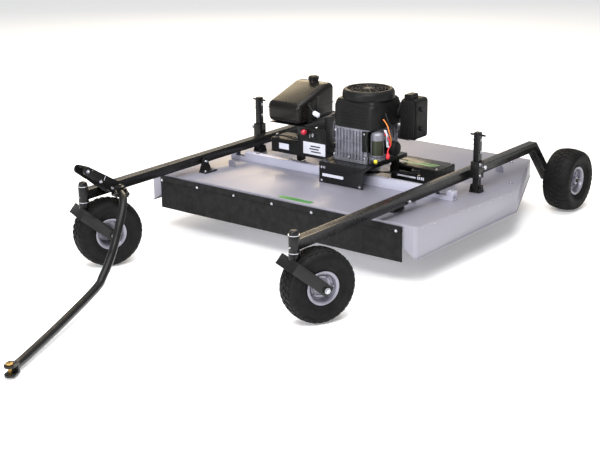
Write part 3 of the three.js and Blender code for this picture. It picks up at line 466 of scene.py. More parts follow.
def make_fork_fittings(side):
    """A washer and a hexagon nut on each end of the caster's axle."""
    spin = JOINTS[f"{side}_caster_spin"]
    centre, axis = Vector(spin["pos_m"]), Vector(spin["axis"]).normalized()
    form = Form()
    for direction in (axis, -axis):
        form.bolt(centre + direction * 0.0905, direction, 0.0105)
    piece(f"{side}_axle_nuts", form, "zinc", f"{side}_caster", 0.0006)


def make_post_fittings(side, sign):
    """Two pins across the post's top, a wire ring on one, the post's plug, and screws on the sleeve's lug."""
    low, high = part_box(f"{side}_lift_post")
    x, y = 0.681 * sign, (low.y + high.y) / 2
    form = Form()
    for height in (high.z - 0.034, high.z - 0.092):
        form.tube([(x - 0.024, y, height), (x + 0.024, y, height)], 0.0042, 12)
        for end in (-1, 1):
            form.lathe([(0, 0), (0.0075, 0), (0.0075, 0.0035), (0, 0.0035)],
                       basis((x + end * 0.0165, y, height), X * end), 16)
    ring = [Vector((x - 0.0225, y + 0.013 * math.cos(a), high.z - 0.047 + 0.014 * math.sin(a)))
            for a in [k * math.pi / 8 for k in range(17)]]
    form.tube(ring, 0.0013, 8)
    piece(f"{side}_post_clips", form, "zinc", f"{side}_post")
    cap = Form().prism(rounded_rectangle((x - 0.0146, x + 0.0146), (y - 0.0146, y + 0.0146), 0.004),
                       high.z - 0.0005, high.z + 0.0035)
    piece(f"{side}_post_plug", cap, "engine_plastic", f"{side}_post", 0.001)
    sleeve = Form()
    lug_x = sign * 0.7045
    for height in (0.362, 0.418):
        sleeve.bolt((lug_x, y - 0.013, height), X * sign, 0.0055)
    piece(f"{side}_sleeve_screws", sleeve, "zinc", f"{side}_frame")


HITCH_BRACKET_RIGHT = -0.533
TONGUE_YAW = math.radians(22.3)
TONGUE_EYE = Vector((0.079, -1.7021, 0.033))


def make_tongue():
    """The bent tube in fine steps, with a weld bead where it meets the clevis."""
    ahead = Vector((math.sin(TONGUE_YAW), -math.cos(TONGUE_YAW), 0))
    eye = TONGUE_EYE
    swing = Vector(JOINTS["tongue_swing"]["pos_m"])
    lift = Vector(JOINTS["tongue_lift"]["pos_m"])
    out = (lift - Vector((swing.x, swing.y, lift.z))).normalized()
    route = [
        lift - out * 0.014, lift, (-0.428, -0.556, 0.360), (-0.376, -0.616, 0.330), (-0.328, -0.696, 0.263),
        (-0.294, -0.780, 0.169), (-0.258, -0.870, 0.107), (-0.224, -0.954, 0.076), (-0.090, -1.285, 0.048),
        eye - ahead * 0.130, eye - ahead * 0.041,
    ]
    form = Form().tube(smooth_line(route, 8), 0.019, 28)
    piece("tongue_tube_bent", form, "frame_black", "tongue", 0.0012, ["tongue_tube"])
    bead = Form()
    ring = basis(eye - ahead * 0.042, ahead)
    bead.lathe([(0.018, -0.003), (0.0215, -0.002), (0.0225, 0.001), (0.018, 0.002), (0.018, -0.003)], ring, 28)
    piece("tongue_weld", bead, "frame_black", "tongue")


def make_hitch_fittings():
    """Bolts through the diagonal bracket, and a pin's wire clip."""
    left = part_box("hitch_bracket")[0].x
    right = HITCH_BRACKET_RIGHT
    form = Form()
    for y, z in ((-0.668, 0.497), (-0.592, 0.432), (-0.520, 0.384), (-0.470, 0.360)):
        form.bolt((right + 0.0003, y, z), X, 0.0075)
        form.lathe([(0, 0), (0.006, 0), (0.006, 0.004), (0, 0.004)], basis((left, y, z), -X), 14)
    piece("hitch_bracket_bolts", form, "zinc", "left_frame")
    wires = Form()
    loop = smooth_line([(right, -0.640, 0.494), (right + 0.004, -0.610, 0.520), (right + 0.002, -0.578, 0.512),
                        (right + 0.004, -0.560, 0.468), (right, -0.570, 0.432)], 6)
    wires.tube(loop, 0.0013, 8)
    piece("hitch_clip_wire", wires, "zinc", "left_frame")


# ---------------------------------------------------------------- deck and flap

DECK_SIDE_END, DECK_REAR_HALF, DECK_SLOPE = 0.920, 0.534, 0.0387


def deck_height(y):
    """The height of the sloping deck's top."""
    low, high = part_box("deck_shell")
    return high.z - DECK_SLOPE * (y - low.y)


def make_flap():
    """A thick rubber sheet with a slight wave along its lower edge, clamped at the top."""
    low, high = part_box("front_flap")
    columns, rows = 120, 10
    points, faces = [], []
    for layer in (low.y, high.y):
        for j in range(rows + 1):
            for i in range(columns + 1):
                x = low.x + (high.x - low.x) * i / columns
                drop = 1 - j / rows
                sway = drop ** 1.5 * 0.0035 * noise.noise(Vector((x * 2.3, 1.7, 0.4)))
                ripple = drop * 0.0012 * noise.noise(Vector((x * 9, j * 0.4, 3.1)))
                points.append((x, layer + sway + ripple, low.z + (high.z - low.z) * j / rows))
    layer_size = (rows + 1) * (columns + 1)
    for base in (0, layer_size):
        for j in range(rows):
            for i in range(columns):
                a = base + j * (columns + 1) + i
                faces.append((a, a + 1, a + columns + 2, a + columns + 1))
    rim = [j * (columns + 1) for j in range(rows + 1)]
    edges = [list(range(columns + 1)), [columns + r for r in rim], [rim[-1] + i for i in range(columns + 1)], rim]
    for edge in edges:
        faces += [(a, b, b + layer_size, a + layer_size) for a, b in zip(edge, edge[1:])]
    form = Form().add(points, faces)
    piece("front_flap_sheet", form, "flap_rubber", "flap", 0.0, ["front_flap"])

    strip_low, strip_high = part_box("flap_clamp_bar")
    bolts = Form()
    for k in range(7):
        x = strip_low.x + 0.008 + k * (strip_high.x - strip_low.x - 0.040) / 6
        bolts.bolt((x + 0.004, strip_low.y, strip_low.z + 0.007), -Y, 0.0055)
    piece("flap_bolts", bolts, "zinc", "deck")


def make_deck_details():
    """A rolled lip round the deck's lower edge, spot welds, a plain green plate, tabs and bolts."""
    low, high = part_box("deck_shell")
    lip = low.z + 0.003
    side = [(high.x, low.y + 0.001), (high.x, DECK_SIDE_END), (DECK_REAR_HALF, high.y)]
    form = Form()
    for sign in (-1, 1):
        for (x0, y0), (x1, y1) in zip(side, side[1:]):
            form.tube([(sign * x0, y0, lip), (sign * x1, y1, lip)], 0.0030, 10)
    form.tube([(-DECK_REAR_HALF, high.y, lip), (DECK_REAR_HALF, high.y, lip)], 0.0030, 10)
    piece("deck_lower_lip", form, "deck_silver", "deck")

    welds = Form()
    for sign in (-1, 1):
        for k in range(9):
            y = 0.075 + k * 0.098
            welds.lathe([(0, 0), (0.0045, 0), (0.003, 0.0009), (0, 0.0012)],
                        basis((sign * (high.x + 0.0004), y, deck_height(y) - 0.012), X * sign), 14)
    piece("deck_spot_welds", welds, "zinc", "deck")

    tabs = Form()
    for sign in (-1, 1):
        for y in (0.36, 1.18):
            z = deck_height(y)
            half = [(-0.022, 0.0), (0.022, 0.0), (0.022, 0.026), (0.012, 0.036), (-0.012, 0.036), (-0.022, 0.026)]
            matrix = Matrix.Translation((sign * 0.555, y, z)) @ Matrix.Rotation(math.radians(90), 4, "X")
            tabs.prism(half, -0.002, 0.002, matrix)
            tabs.lathe([(0, 0), (0.007, 0), (0.007, 0.003), (0, 0.003)],
                       basis((sign * 0.555, y - 0.002, z + 0.022), -Y), 14)
    piece("deck_tabs", tabs, "deck_silver", "deck", 0.0006)

    label = Form()
    label.prism(rounded_rectangle((0.010, 0.203), (0, 0.038), 0.004), 0, 0.0008,
                Matrix.Translation((0, 0.031, deck_height(0.031) + 0.0002))
                @ Matrix.Rotation(-math.atan(DECK_SLOPE), 4, "X"))
    piece("deck_green_plate", label, GREEN, "deck")

    bolts = Form()
    channel_low, channel_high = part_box("deck_cross_channel")
    for x in (-0.680, -0.520, -0.300, 0.300, 0.520, 0.680):
        bolts.bolt((x, channel_low.y + 0.0185, channel_high.z), Z, 0.0075)
    for side, sign in SIDES:
        bolts.bolt((sign * 0.725, 1.00, deck_height(1.00)), Z, 0.008)
        bolts.bolt((sign * 0.500, 1.40, deck_height(1.40)), Z, 0.008)
        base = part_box(f"{side}_pivot_bracket")[0]
        for dy in (-0.030, 0.030):
            bolts.bolt((sign * 0.566, 0.196 + dy, base.z + 0.006), Z, 0.007)
    piece("deck_bolts", bolts, "zinc", "deck")


def make_cover_details():
    """The right belt cover's green stripes, the pale plates on its front, and both covers' screws."""
    low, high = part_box("belt_cover_right")
    stripe = Form()
    stripe.prism([(0.211, 0.752), (0.400, 0.757), (0.435, 0.775), (0.235, 0.771)], high.z, high.z + 0.0008)
    stripe.prism([(0.330, 0.786), (0.428, 0.789), (0.434, 0.801), (0.336, 0.798)], high.z, high.z + 0.0008)
    piece("cover_green_stripe", stripe, GREEN, "deck")
    plate = Form()
    plate.box((0.162, low.y - 0.0012, 0.296), (0.352, low.y + 0.001, 0.304))
    for x in (0.362, 0.372, 0.384, 0.394):
        plate.box((x, low.y - 0.0012, 0.294), (x + 0.007, low.y + 0.001, 0.308))
    piece("cover_pale_plates", plate, WHITE, "deck")
    screws = Form()
    for x in (low.x + 0.016, high.x - 0.014):
        for y in (low.y + 0.015, high.y - 0.015):
            screws.bolt((x, y, high.z), Z, 0.0055)
    left_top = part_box("belt_cover_left")[1].z
    for x, y in ((-0.180, 0.900), (-0.400, 0.900), (-0.430, 1.020), (-0.280, 1.060)):
        screws.bolt((x, y, left_top), Z, 0.0055)
    piece("cover_screws", screws, "zinc", "deck")


# ---------------------------------------------------------------- engine

CASE_X, CASE_Y, CASE_Z = (0.005, 0.228), (0.480, 0.750), (0.3955, 0.5645)
BLOWER_X, BLOWER_Y = (-0.002, 0.250), (0.488, 0.738)
BLOWER_SHOULDER, BLOWER_TOP, GUARD_HEIGHT = 0.687, 0.703, 0.7385


def make_crankcase():
    """A ribbed cast crankcase: a finned head at its left, the starter's lug and a black shroud at its right."""
    (x0, x1), (y0, y1), (z0, z1) = CASE_X, CASE_Y, CASE_Z
    form = Form()
    form.prism(rounded_rectangle((x0 - 0.006, x1 - 0.004), (y0 - 0.006, y1 + 0.008), 0.030), z0, z0 + 0.016)
    form.prism(rounded_rectangle((x0 + 0.002, x1 - 0.002), (y0 + 0.002, y1 - 0.002), 0.026), z0 + 0.014, z1)
    for z in (z0 + 0.040, z0 + 0.100):
        form.prism(rounded_rectangle((x0 - 0.001, x1 + 0.0002), (y0 - 0.002, y1), 0.028), z, z + 0.008)
    for k in range(9):
        x = x0 + 0.026 + k * 0.0195
        form.box((x, y0 - 0.0068, z0 + 0.018), (x + 0.0045, y0 + 0.006, z1 - 0.008))
    for k in range(9):
        y = y0 + 0.052 + k * 0.023
        if abs(y - 0.610) > 0.048:
            form.box((x1 - 0.006, y, z0 + 0.030), (x1 + 0.0030, y + 0.004, z1 - 0.010))
    form.prism(rounded_rectangle((0.570, 0.690), (0.458, 0.556), 0.014), -0.060, x0 + 0.005, axis_x())
    for k in range(7):
        x = -0.052 + k * 0.008
        form.prism(rounded_rectangle((0.562, 0.698), (0.451, 0.561), 0.012), x, x + 0.003, axis_x())
    form.prism(rounded_rectangle((0.580, 0.680), (0.466, 0.548), 0.020), -0.0655, -0.058, axis_x())
    form.box((x1 - 0.010, y0 - 0.007, 0.424), (0.294, y0 + 0.042, 0.4376))
    piece("crankcase_cast", form, "cast_aluminium", "deck", 0.0012, ["engine_crankcase"])
    bolts = Form()
    for x, z in ((0.022, 0.425), (0.110, 0.420), (0.206, 0.425), (0.030, 0.548), (0.204, 0.548)):
        bolts.bolt((x, y0 - 0.006, z), -Y, 0.0055)
    piece("crankcase_bolts", bolts, "zinc", "deck")
    shroud = Form()
    shroud.box((x1 - 0.040, y0 - 0.0080, z0 + 0.062), (x1 + 0.0035, y0 + 0.010, z1 - 0.004))
    shroud.box((x1 - 0.004, y0 - 0.0080, z0 + 0.062), (x1 + 0.0035, y0 + 0.060, z1 - 0.004))
    piece("crankcase_shroud", shroud, "engine_plastic", "deck", 0.002)


def axis_x():
    """Turns a drawing in YZ so that its thickness runs along X."""
    return Matrix(((0, 0, 1, 0), (1, 0, 0, 0), (0, 1, 0, 0), (0, 0, 0, 1)))


def axis_y():
    """Turns a drawing in XZ so that its thickness runs along Y."""
    return Matrix(((1, 0, 0, 0), (0, 0, -1, 0), (0, 1, 0, 0), (0, 0, 0, 1)))


def make_blower():
    """The moulded blower housing: stepped shoulders, cooling slots and a domed round guard."""
    crank = Vector(JOINTS["engine_spin"]["pos_m"])
    z0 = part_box("blower_housing")[0].z
    (x0, x1), (y0, y1) = BLOWER_X, BLOWER_Y
    shoulder, top = BLOWER_SHOULDER, BLOWER_TOP
    body = Form()
    layers = [(0.0, z0), (0.0, shoulder - 0.020), (0.004, shoulder - 0.006), (0.012, top - 0.004), (0.020, top)]
    outlines = [rounded_rectangle((x0 + inset, x1 - inset), (y0 + inset, y1 - inset), 0.034 - inset * 0.4, 8)
                for inset, _ in layers]
    count = len(outlines[0])
    hole = [(crank.x + 0.104 * math.cos(a), crank.y + 0.104 * math.sin(a))
            for a in [math.atan2(y - crank.y, x - crank.x) for x, y in outlines[-1]]]
    rings = [[(x, y, z) for x, y in outline] for outline, (_, z) in zip(outlines, layers)]
    rings.append([(x, y, top) for x, y in hole])
    rings.append([(x, y, top - 0.006) for x, y in hole])
    inner = rounded_rectangle((x0 + 0.006, x1 - 0.006), (y0 + 0.006, y1 - 0.006), 0.029, 8)
    rings.append([(x, y, top - 0.012) for x, y in inner])
    rings.append([(x, y, z0) for x, y in inner])
    points = [point for ring in rings for point in ring]
    faces = []
    for k in range(len(rings)):
        base, following = k * count, ((k + 1) % len(rings)) * count
        for i in range(count):
            j = (i + 1) % count
            faces.append((base + i, base + j, following + j, following + i))
    body.add(points, faces)
    centre = Matrix.Translation((crank.x, crank.y, 0))
    body.lathe([(0.104, top - 0.002), (0.1305, top - 0.002), (0.1310, top + 0.006), (0.1300, 0.727), (0.1265, 0.737),
                (0.120, 0.7435), (0.112, 0.7458), (0.106, 0.7445), (0.104, 0.740), (0.104, top - 0.002)], centre, 64)
    for k in range(6):
        z = z0 + 0.018 + k * 0.0170
        body.box((x0 + 0.050, y0 - 0.0016, z), (x1 - 0.050, y0 + 0.004, z + 0.0045))
    piece("blower_housing_moulded", body, "engine_plastic", "deck", 0.0012, ["blower_housing"], angle=30)
    guard = Form()
    for radius in (0.030, 0.048, 0.066, 0.084, 0.098):
        ring = [(crank.x + radius * math.cos(a), crank.y + radius * math.sin(a), guard_height(radius))
                for a in [k * math.pi / 24 for k in range(49)]]
        guard.tube(ring, 0.0022, 8)
    for k in range(12):
        turn = k * math.pi / 6 + 0.2
        guard.tube([(crank.x + r * math.cos(turn), crank.y + r * math.sin(turn), guard_height(r))
                    for r in (0.026, 0.050, 0.075, 0.100, 0.108)], 0.0026, 8)
    hub = [(0, 0), (0.028, 0), (0.029, 0.003), (0.024, 0.006), (0, 0.007)]
    guard.lathe([(r, GUARD_HEIGHT + z) for r, z in hub], centre, 32)
    piece("blower_guard_grille", guard, "engine_plastic", "deck")


def guard_height(radius):
    """The guard's bars rise a little towards the middle."""
    return GUARD_HEIGHT + 0.004 * (1 - (radius / 0.1) ** 2)


def make_screen():
    """The finned screen that turns with the flywheel, seen through the guard."""
    crank = Vector(JOINTS["engine_spin"]["pos_m"])
    low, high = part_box("flywheel_screen")
    form = Form()
    centre = Matrix.Translation((crank.x, crank.y, 0))
    form.lathe([(0.0135, low.z), (0.0975, low.z), (0.0975, low.z + 0.004), (0.030, low.z + 0.006),
                (0.028, high.z), (0.0135, high.z), (0.0135, low.z)], centre, 48)
    for k in range(20):
        turn = k * math.pi / 10
        matrix = centre @ Matrix.Rotation(turn, 4, "Z")
        form.box((0.034, -0.0015, low.z + 0.003), (0.096, 0.0015, high.z - 0.001), matrix)
    form.lathe([(0.090, high.z - 0.003), (0.0975, high.z - 0.003), (0.0975, high.z), (0.090, high.z),
                (0.090, high.z - 0.003)], centre, 48)
    piece("flywheel_screen_finned", form, "engine_plastic", "engine_rotor", 0.0, ["flywheel_screen"])


def make_air_cleaner():
    """A ribbed air-cleaner box with two knobs, a lug on top and a short intake elbow."""
    form = Form()
    form.prism(rounded_rectangle((0.272, 0.362), (0.495, 0.697), 0.018), -0.790, -0.686, axis_y())
    form.prism(rounded_rectangle((0.2705, 0.3635), (0.4935, 0.6985), 0.019), -0.702, -0.692, axis_y())
    form.prism(rounded_rectangle((0.277, 0.357), (0.501, 0.691), 0.016), -0.692, -0.672, axis_y())
    for k in range(5):
        x = 0.286 + k * 0.0135
        form.box((x, 0.6705, 0.520), (x + 0.006, 0.678, 0.672))
    form.prism(rounded_rectangle((0.288, 0.332), (0.685, 0.720), 0.008), -0.750, -0.690, axis_y())
    form.lathe([(0, 0.2505), (0.034, 0.2505), (0.034, 0.258), (0.031, 0.260), (0.031, 0.268), (0.034, 0.270),
                (0.034, 0.274), (0, 0.274)], Matrix.Translation((0, 0.712, 0.622)) @ turn_to_x(), 28)
    knob = [(0, 0), (0.010, 0), (0.012, 0.004), (0.010, 0.012), (0, 0.0135)]
    for z in (0.548, 0.645):
        form.lathe(knob, basis((0.3615, 0.731, z), X), 18)
    piece("air_cleaner_box", form, "engine_plastic", "deck", 0.0015, ["air_cleaner"])


def turn_to_x():
    """Turns local Z onto +X."""
    return Matrix.Rotation(math.radians(90), 4, "Y")


def make_starter():
    """The starter motor: an olive can between bright end caps, with a red lead and a tangle of pale ones."""
    low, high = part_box("starter_motor")
    x, y = (low.x + high.x) / 2, (low.y + high.y) / 2
    centre = Matrix.Translation((x, y, 0))
    can = Form().lathe([(0, low.z + 0.010), (0.0285, low.z + 0.010), (0.0290, low.z + 0.014),
                        (0.0290, high.z - 0.038), (0, high.z - 0.038)], centre, 32)
    piece("starter_can", can, "olive_steel", "deck", 0.0, ["starter_motor"])
    caps = Form()
    caps.lathe([(0, low.z + 0.0005), (0.024, low.z + 0.0005), (0.030, low.z + 0.003), (0.030, low.z + 0.0105),
                (0, low.z + 0.0105)], centre, 32)
    caps.lathe([(0, high.z - 0.039), (0.0308, high.z - 0.039), (0.0310, high.z - 0.034), (0.0310, high.z - 0.012),
                (0.026, high.z - 0.005), (0.014, high.z - 0.0005), (0, high.z)], centre, 32)
    for turn in (0.8, 3.9):
        caps.tube([(x + 0.0305 * math.cos(turn), y + 0.0305 * math.sin(turn), low.z + 0.004),
                   (x + 0.0305 * math.cos(turn), y + 0.0305 * math.sin(turn), high.z - 0.016)], 0.0018, 8)
    piece("starter_end_caps", caps, "cast_aluminium", "deck")
    red = Form()
    red.tube(smooth_line([(x + 0.034, y + 0.012, 0.556), (x + 0.050, y + 0.024, 0.530), (x + 0.056, y + 0.028, 0.500),
                          (x + 0.048, y + 0.020, 0.470), (x + 0.054, y + 0.014, 0.446)], 6), 0.0036, 10)
    red.lathe([(0, -0.012), (0.007, -0.012), (0.0095, -0.004), (0.0095, 0.010), (0.006, 0.015), (0, 0.015)],
              basis((x + 0.054, y + 0.012, 0.447), (0.2, -0.3, -0.9)), 16)
    piece("starter_red_lead", red, RED_WIRE, "deck")
    pale = Form()
    for shift, bend in ((0.000, 0.010), (0.006, -0.008), (-0.005, 0.004)):
        pale.tube(smooth_line([(x + 0.030 + shift, y + 0.020, 0.572), (x + 0.045 + shift, y + 0.014 + bend, 0.545),
                               (x + 0.034 + shift, y + 0.030 + bend, 0.515), (x + 0.047 + shift, y + 0.022, 0.488)], 6),
                  0.0022, 8)
    piece("starter_pale_leads", pale, WHITE, "deck")
    return x, y


def make_leads(x, y):
    """The ignition lead by the starter at x and y, the hoses, the fuel filter and a yellow cap."""
    orange = Form().tube(smooth_line([(x - 0.002, y + 0.052, 0.615), (x + 0.026, y + 0.046, 0.588),
                                      (x + 0.042, y + 0.040, 0.556), (x + 0.046, y + 0.050, 0.520),
                                      (x + 0.036, y + 0.062, 0.486)], 6), 0.0028, 10)
    piece("ignition_orange_lead", orange, ORANGE, "deck")
    hose = Form().tube(smooth_line([(0.226, 0.466, 0.560), (0.222, 0.460, 0.520), (0.230, 0.458, 0.475),
                                    (0.236, 0.460, 0.445), (0.232, 0.466, 0.400)], 6), 0.0042, 10)
    hose.tube(smooth_line([(0.256, 0.575, 0.640), (0.276, 0.572, 0.600), (0.292, 0.590, 0.560),
                           (0.286, 0.600, 0.520)], 6), 0.0036, 10)
    hose.tube(smooth_line([(-0.164, 0.520, 0.560), (-0.120, 0.500, 0.560), (-0.066, 0.505, 0.585),
                           (-0.004, 0.520, 0.600)], 6), 0.0040, 10)
    piece("engine_hoses", hose, HOSE, "deck")
    dipstick = Form().lathe([(0, -0.010), (0.007, -0.010), (0.0095, -0.005), (0.0095, 0.003), (0.006, 0.008),
                             (0, 0.009)], basis((0.283, 0.455, 0.426), (0.1, -0.6, 0.8)), 18)
    piece("dipstick_yellow_cap", dipstick, YELLOW, "deck", 0.0008)
    fuel = Form().tube(smooth_line([(-0.164, 0.500, 0.640), (-0.140, 0.486, 0.636), (-0.110, 0.482, 0.612),
                                    (-0.086, 0.486, 0.600), (-0.044, 0.494, 0.622), (-0.004, 0.506, 0.630)], 6),
                       0.0034, 10)
    piece("fuel_line", fuel, HOSE, "deck")
    filter_bowl = Form().lathe([(0, -0.020), (0.006, -0.020), (0.0125, -0.014), (0.0125, 0.014), (0.006, 0.020),
                                (0, 0.020)], basis((-0.098, 0.484, 0.605), (0.7, 0.1, -0.3)), 20)
    piece("fuel_filter_bowl", filter_bowl, WHITE, "deck")


def make_engine_base_details():
    """Bolts and a plain pale plate on the base's front."""
    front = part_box("engine_base")[0].y
    bolts = Form()
    for x, z in ((-0.004, 0.368), (0.012, 0.368), (0.226, 0.300), (-0.004, 0.300)):
        bolts.bolt((x, front, z), -Y, 0.0055)
    piece("engine_base_bolts", bolts, "zinc", "deck")
    bar = Form()
    bar.prism(rounded_rectangle((0.000, 0.128), (0.322, 0.337), 0.003), -front, -front + 0.0012, axis_y())
    piece("engine_base_plain_plate", bar, WHITE, "deck", 0.0003)


# ---------------------------------------------------------------- tank, battery and controls

TANK_FRONT_TOP, TANK_REAR_TOP = 0.649, 0.727


def make_tank():
    """The blow-moulded tank: soft round edges, a seam round its middle, a filler neck and two straps."""
    low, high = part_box("fuel_tank")
    x0, x1, y0, y1 = low.x, high.x, low.y, high.y
    z0, front, rear = low.z, TANK_FRONT_TOP, TANK_REAR_TOP
    cap = Vector(JOINTS["fuel_cap_turn"]["pos_m"])
    mesh = bpy.data.meshes.new("fuel_tank_moulded")
    work = bmesh.new()
    side = [(y0 + 0.006, z0 + 0.004), (y1 - 0.006, z0 + 0.004), (y1 - 0.002, rear - 0.012),
            (y1 - 0.060, rear - 0.004), (y0 + 0.002, front - 0.004)]
    left = [work.verts.new((x0 + 0.0015, y, z)) for y, z in side]
    right = [work.verts.new((x1 - 0.0015, y, z)) for y, z in side]
    work.faces.new(left[::-1])
    work.faces.new(right)
    for i in range(len(side)):
        j = (i + 1) % len(side)
        work.faces.new((left[i], left[j], right[j], right[i]))
    bmesh.ops.recalc_face_normals(work, faces=work.faces)
    bmesh.ops.bevel(work, geom=work.edges[:], offset=0.026, segments=8, profile=0.5, affect="EDGES")
    work.to_mesh(mesh)
    work.free()
    dress("fuel_tank_moulded", mesh, "tank_plastic", "deck", 0.0, ["fuel_tank"], 40)
    neck = Form().lathe([(0, 0.690), (0.030, 0.690), (0.030, 0.712), (0.026, 0.716), (0.024, 0.7275), (0, 0.7275)],
                        Matrix.Translation((cap.x, cap.y, 0)), 28)
    seam = Form()
    middle = (z0 + front) / 2 + 0.020
    seam.prism(rounded_rectangle((x0 + 0.0002, x1 - 0.0002), (y0 + 0.0002, y1 - 0.0002), 0.022),
               middle, middle + 0.0025)
    piece("fuel_tank_neck", neck, "tank_plastic", "deck", 0.001)
    piece("fuel_tank_seam", seam, "tank_plastic", "deck", 0.0006)
    straps = Form()
    for y in (y0 + 0.085, y1 - 0.150):
        top = front + (rear - front) * (y - y0) / (y1 - y0) * 1.17
        for x in (x0, x1):
            straps.box((x - 0.001, y - 0.012, z0 - 0.001), (x + 0.001, y + 0.012, top - 0.022))
    piece("fuel_tank_straps", straps, "frame_black", "deck", 0.0004)


def make_fuel_cap():
    """A star-grip filler cap."""
    low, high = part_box("fuel_cap")
    x, y = (low.x + high.x) / 2, (low.y + high.y) / 2
    centre = Matrix.Translation((x, y, 0))
    form = Form()
    outline = []
    for k in range(72):
        turn = 2 * math.pi * k / 72
        radius = 0.0262 + 0.0036 * math.cos(6 * turn)
        outline.append((radius * math.cos(turn), radius * math.sin(turn)))
    form.prism(outline, high.z - 0.0225, high.z - 0.0055, centre)
    form.lathe([(0, high.z - 0.006), (0.0225, high.z - 0.006), (0.0200, high.z - 0.002), (0.010, high.z - 0.0002),
                (0, high.z)], centre, 36)
    piece("fuel_cap_star", form, "engine_plastic", "filler_cap", 0.0014, ["fuel_cap"])


def make_battery_and_panel():
    """Battery lid, clamps and lead, the panel's plain plates, and the red choke knob on its rod."""
    low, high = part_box("battery")
    lid = Form()
    lid.prism(rounded_rectangle((low.x - 0.002, high.x + 0.002), (low.y - 0.002, high.y + 0.002), 0.006),
              high.z - 0.016, high.z - 0.010)
    for k in range(6):
        x = low.x + 0.030 + k * 0.026
        lid.lathe([(0, 0), (0.008, 0), (0.008, 0.003), (0, 0.003)],
                  Matrix.Translation((x, (low.y + high.y) / 2, high.z)), 16)
    piece("battery_lid", lid, "engine_plastic", "deck", 0.0008)
    mark = Form()
    mark.box((low.x + 0.055, low.y - 0.0008, high.z - 0.052), (low.x + 0.118, low.y + 0.001, high.z - 0.022))
    piece("battery_plain_label", mark, WHITE, "deck")
    lead = Form().tube(smooth_line([(low.x + 0.030, low.y + 0.020, high.z + 0.002),
                                    (low.x + 0.040, low.y - 0.004, high.z + 0.016),
                                    (low.x + 0.090, low.y - 0.006, high.z + 0.020),
                                    (high.x - 0.020, low.y - 0.004, high.z + 0.012),
                                    (high.x + 0.010, low.y - 0.004, high.z + 0.020)], 6), 0.0045, 10)
    piece("battery_lead", lead, HOSE, "deck")
    clamps = Form()
    for x in (low.x + 0.030, high.x - 0.030):
        clamps.box((x - 0.009, low.y + 0.008, high.z + 0.003), (x + 0.009, low.y + 0.026, high.z + 0.010))
        clamps.lathe([(0, 0), (0.006, 0), (0.006, 0.020), (0, 0.020)],
                     Matrix.Translation((x, low.y + 0.017, high.z)), 16)
    piece("battery_clamps", clamps, "zinc", "deck", 0.0006)

    panel_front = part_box("control_panel")[0].y
    plate = Form()
    plate.prism(rounded_rectangle((-0.168, -0.030), (0.400, 0.462), 0.003),
                -panel_front, -panel_front + 0.0012, axis_y())
    piece("panel_plain_label", plate, WHITE, "deck", 0.0003)
    dark = Form()
    for x0, x1, z in ((-0.122, -0.062, 0.446), (-0.128, -0.070, 0.432), (-0.118, -0.058, 0.418)):
        dark.box((x0, panel_front - 0.0018, z - 0.006), (x1, panel_front - 0.0010, z))
    piece("panel_dark_bars", dark, "engine_plastic", "deck")

    knob_low, knob_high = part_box("choke_knob")
    x, z = (knob_low.x + knob_high.x) / 2, (knob_low.z + knob_high.z) / 2
    ball = [(0, 0)]
    for k in range(1, 14):
        turn = math.pi * k / 16
        ball.append((0.0149 * math.sin(turn), 0.0149 - 0.0149 * math.cos(turn)))
    ball += [(0.0045, 0.0292), (0.0040, 0.034), (0, 0.034)]
    knob = Form().lathe(ball, basis((x, knob_low.y, z), Y), 32)
    piece("choke_knob_ball", knob, "red_plastic", "choke", 0.0, ["choke_knob"])
    rod = Form().tube([(x, knob_low.y + 0.030, z), (x, knob_high.y, z)], 0.0032, 12)
    piece("choke_rod", rod, "zinc", "choke")


# ---------------------------------------------------------------- studio

def make_camera():
    camera = bpy.data.objects.new("camera", bpy.data.cameras.new("camera"))
    camera.data.lens = 83.0
    camera.data.sensor_width = 36.0
    right = Vector((0.78874, 0.61464, -0.01036))
    up = Vector((-0.17794, 0.24440, 0.95321))
    back = Vector((0.58841, -0.74999, 0.30214))
    camera.matrix_world = Matrix((right, up, back)).transposed().to_4x4()
    camera.location = (3.992, -4.871, 2.163)
    camera.data.clip_end = 100
    bpy.context.scene.collection.objects.link(camera)
    bpy.context.scene.camera = camera


def area_light(name, place, target, size, power, colour=(1, 1, 1)):
    light = bpy.data.lights.new(name, "AREA")
    light.shape = "RECTANGLE"
    light.size, light.size_y = size
    light.energy = power
    light.color = colour
    shape = bpy.data.objects.new(name, light)
    shape.matrix_world = basis(place, Vector(place) - Vector(target))
    bpy.context.scene.collection.objects.link(shape)


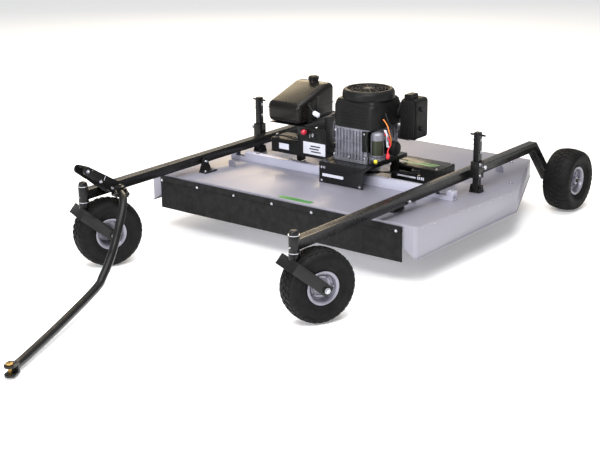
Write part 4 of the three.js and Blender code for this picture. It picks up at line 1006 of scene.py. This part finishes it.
WORLD = 0.42
FLOOR_GLOW = 0.22
LIGHTS = (
    ("key", (2.5, -3.5, 4.5), (3.0, 2.0), 330, (1, 1, 1)),
    ("front", (-0.5, -6.0, 2.4), (3.0, 1.6), 170, (0.93, 0.95, 1.0)),
    ("overhead", (0.0, 0.5, 6.0), (5.0, 5.0), 300, (1, 1, 1)),
    ("warm_back", (-4.0, 4.8, 3.4), (3.2, 2.6), 130, (1.0, 0.80, 0.52)),
)


def make_studio():
    """A white floor that meets a white sky, with broad soft lights."""
    floor = Form().prism(rounded_rectangle((-14, 14), (-14, 14), 4), -0.02, 0.0)
    mesh = bpy.data.meshes.new("studio_floor")
    mesh.from_pydata([tuple(point) for point in floor.points], [], floor.faces)
    ground = bpy.data.objects.new("studio_floor", mesh)
    material, shader = principled("studio_floor", (0.95, 0.95, 0.95), 0.9, gleam=0.1)
    shader.inputs["Emission Color"].default_value = (1, 1, 1, 1)
    shader.inputs["Emission Strength"].default_value = FLOOR_GLOW
    mesh.materials.append(material)
    bpy.context.scene.collection.objects.link(ground)
    world = bpy.data.worlds.new("studio_world")
    bpy.context.scene.world = world
    world.use_nodes = True
    world.node_tree.nodes["Background"].inputs["Color"].default_value = (1.0, 1.0, 1.0, 1)
    world.node_tree.nodes["Background"].inputs["Strength"].default_value = WORLD
    for name, place, size, power, colour in LIGHTS:
        area_light(name, place, (0, 0, 0.3), size, power, colour)
    bpy.context.scene.view_settings.view_transform = "Standard"


# ---------------------------------------------------------------- the mower

finish_cad_nodes()
for side, sign in SIDES:
    make_wheel(f"{side}_caster", f"{side}_caster_spin", CASTER_TYRE_HALF)
    make_wheel(f"{side}_rear", f"{side}_rear_spin", REAR_TYRE_HALF)
    make_hub(side)
    make_fork_fittings(side)
    make_post_fittings(side, sign)
make_tongue()
make_hitch_fittings()
make_flap()
make_deck_details()
make_cover_details()
make_crankcase()
make_blower()
make_screen()
make_air_cleaner()
make_leads(*make_starter())
make_engine_base_details()
make_tank()
make_fuel_cap()
make_battery_and_panel()
make_camera()
make_studio()
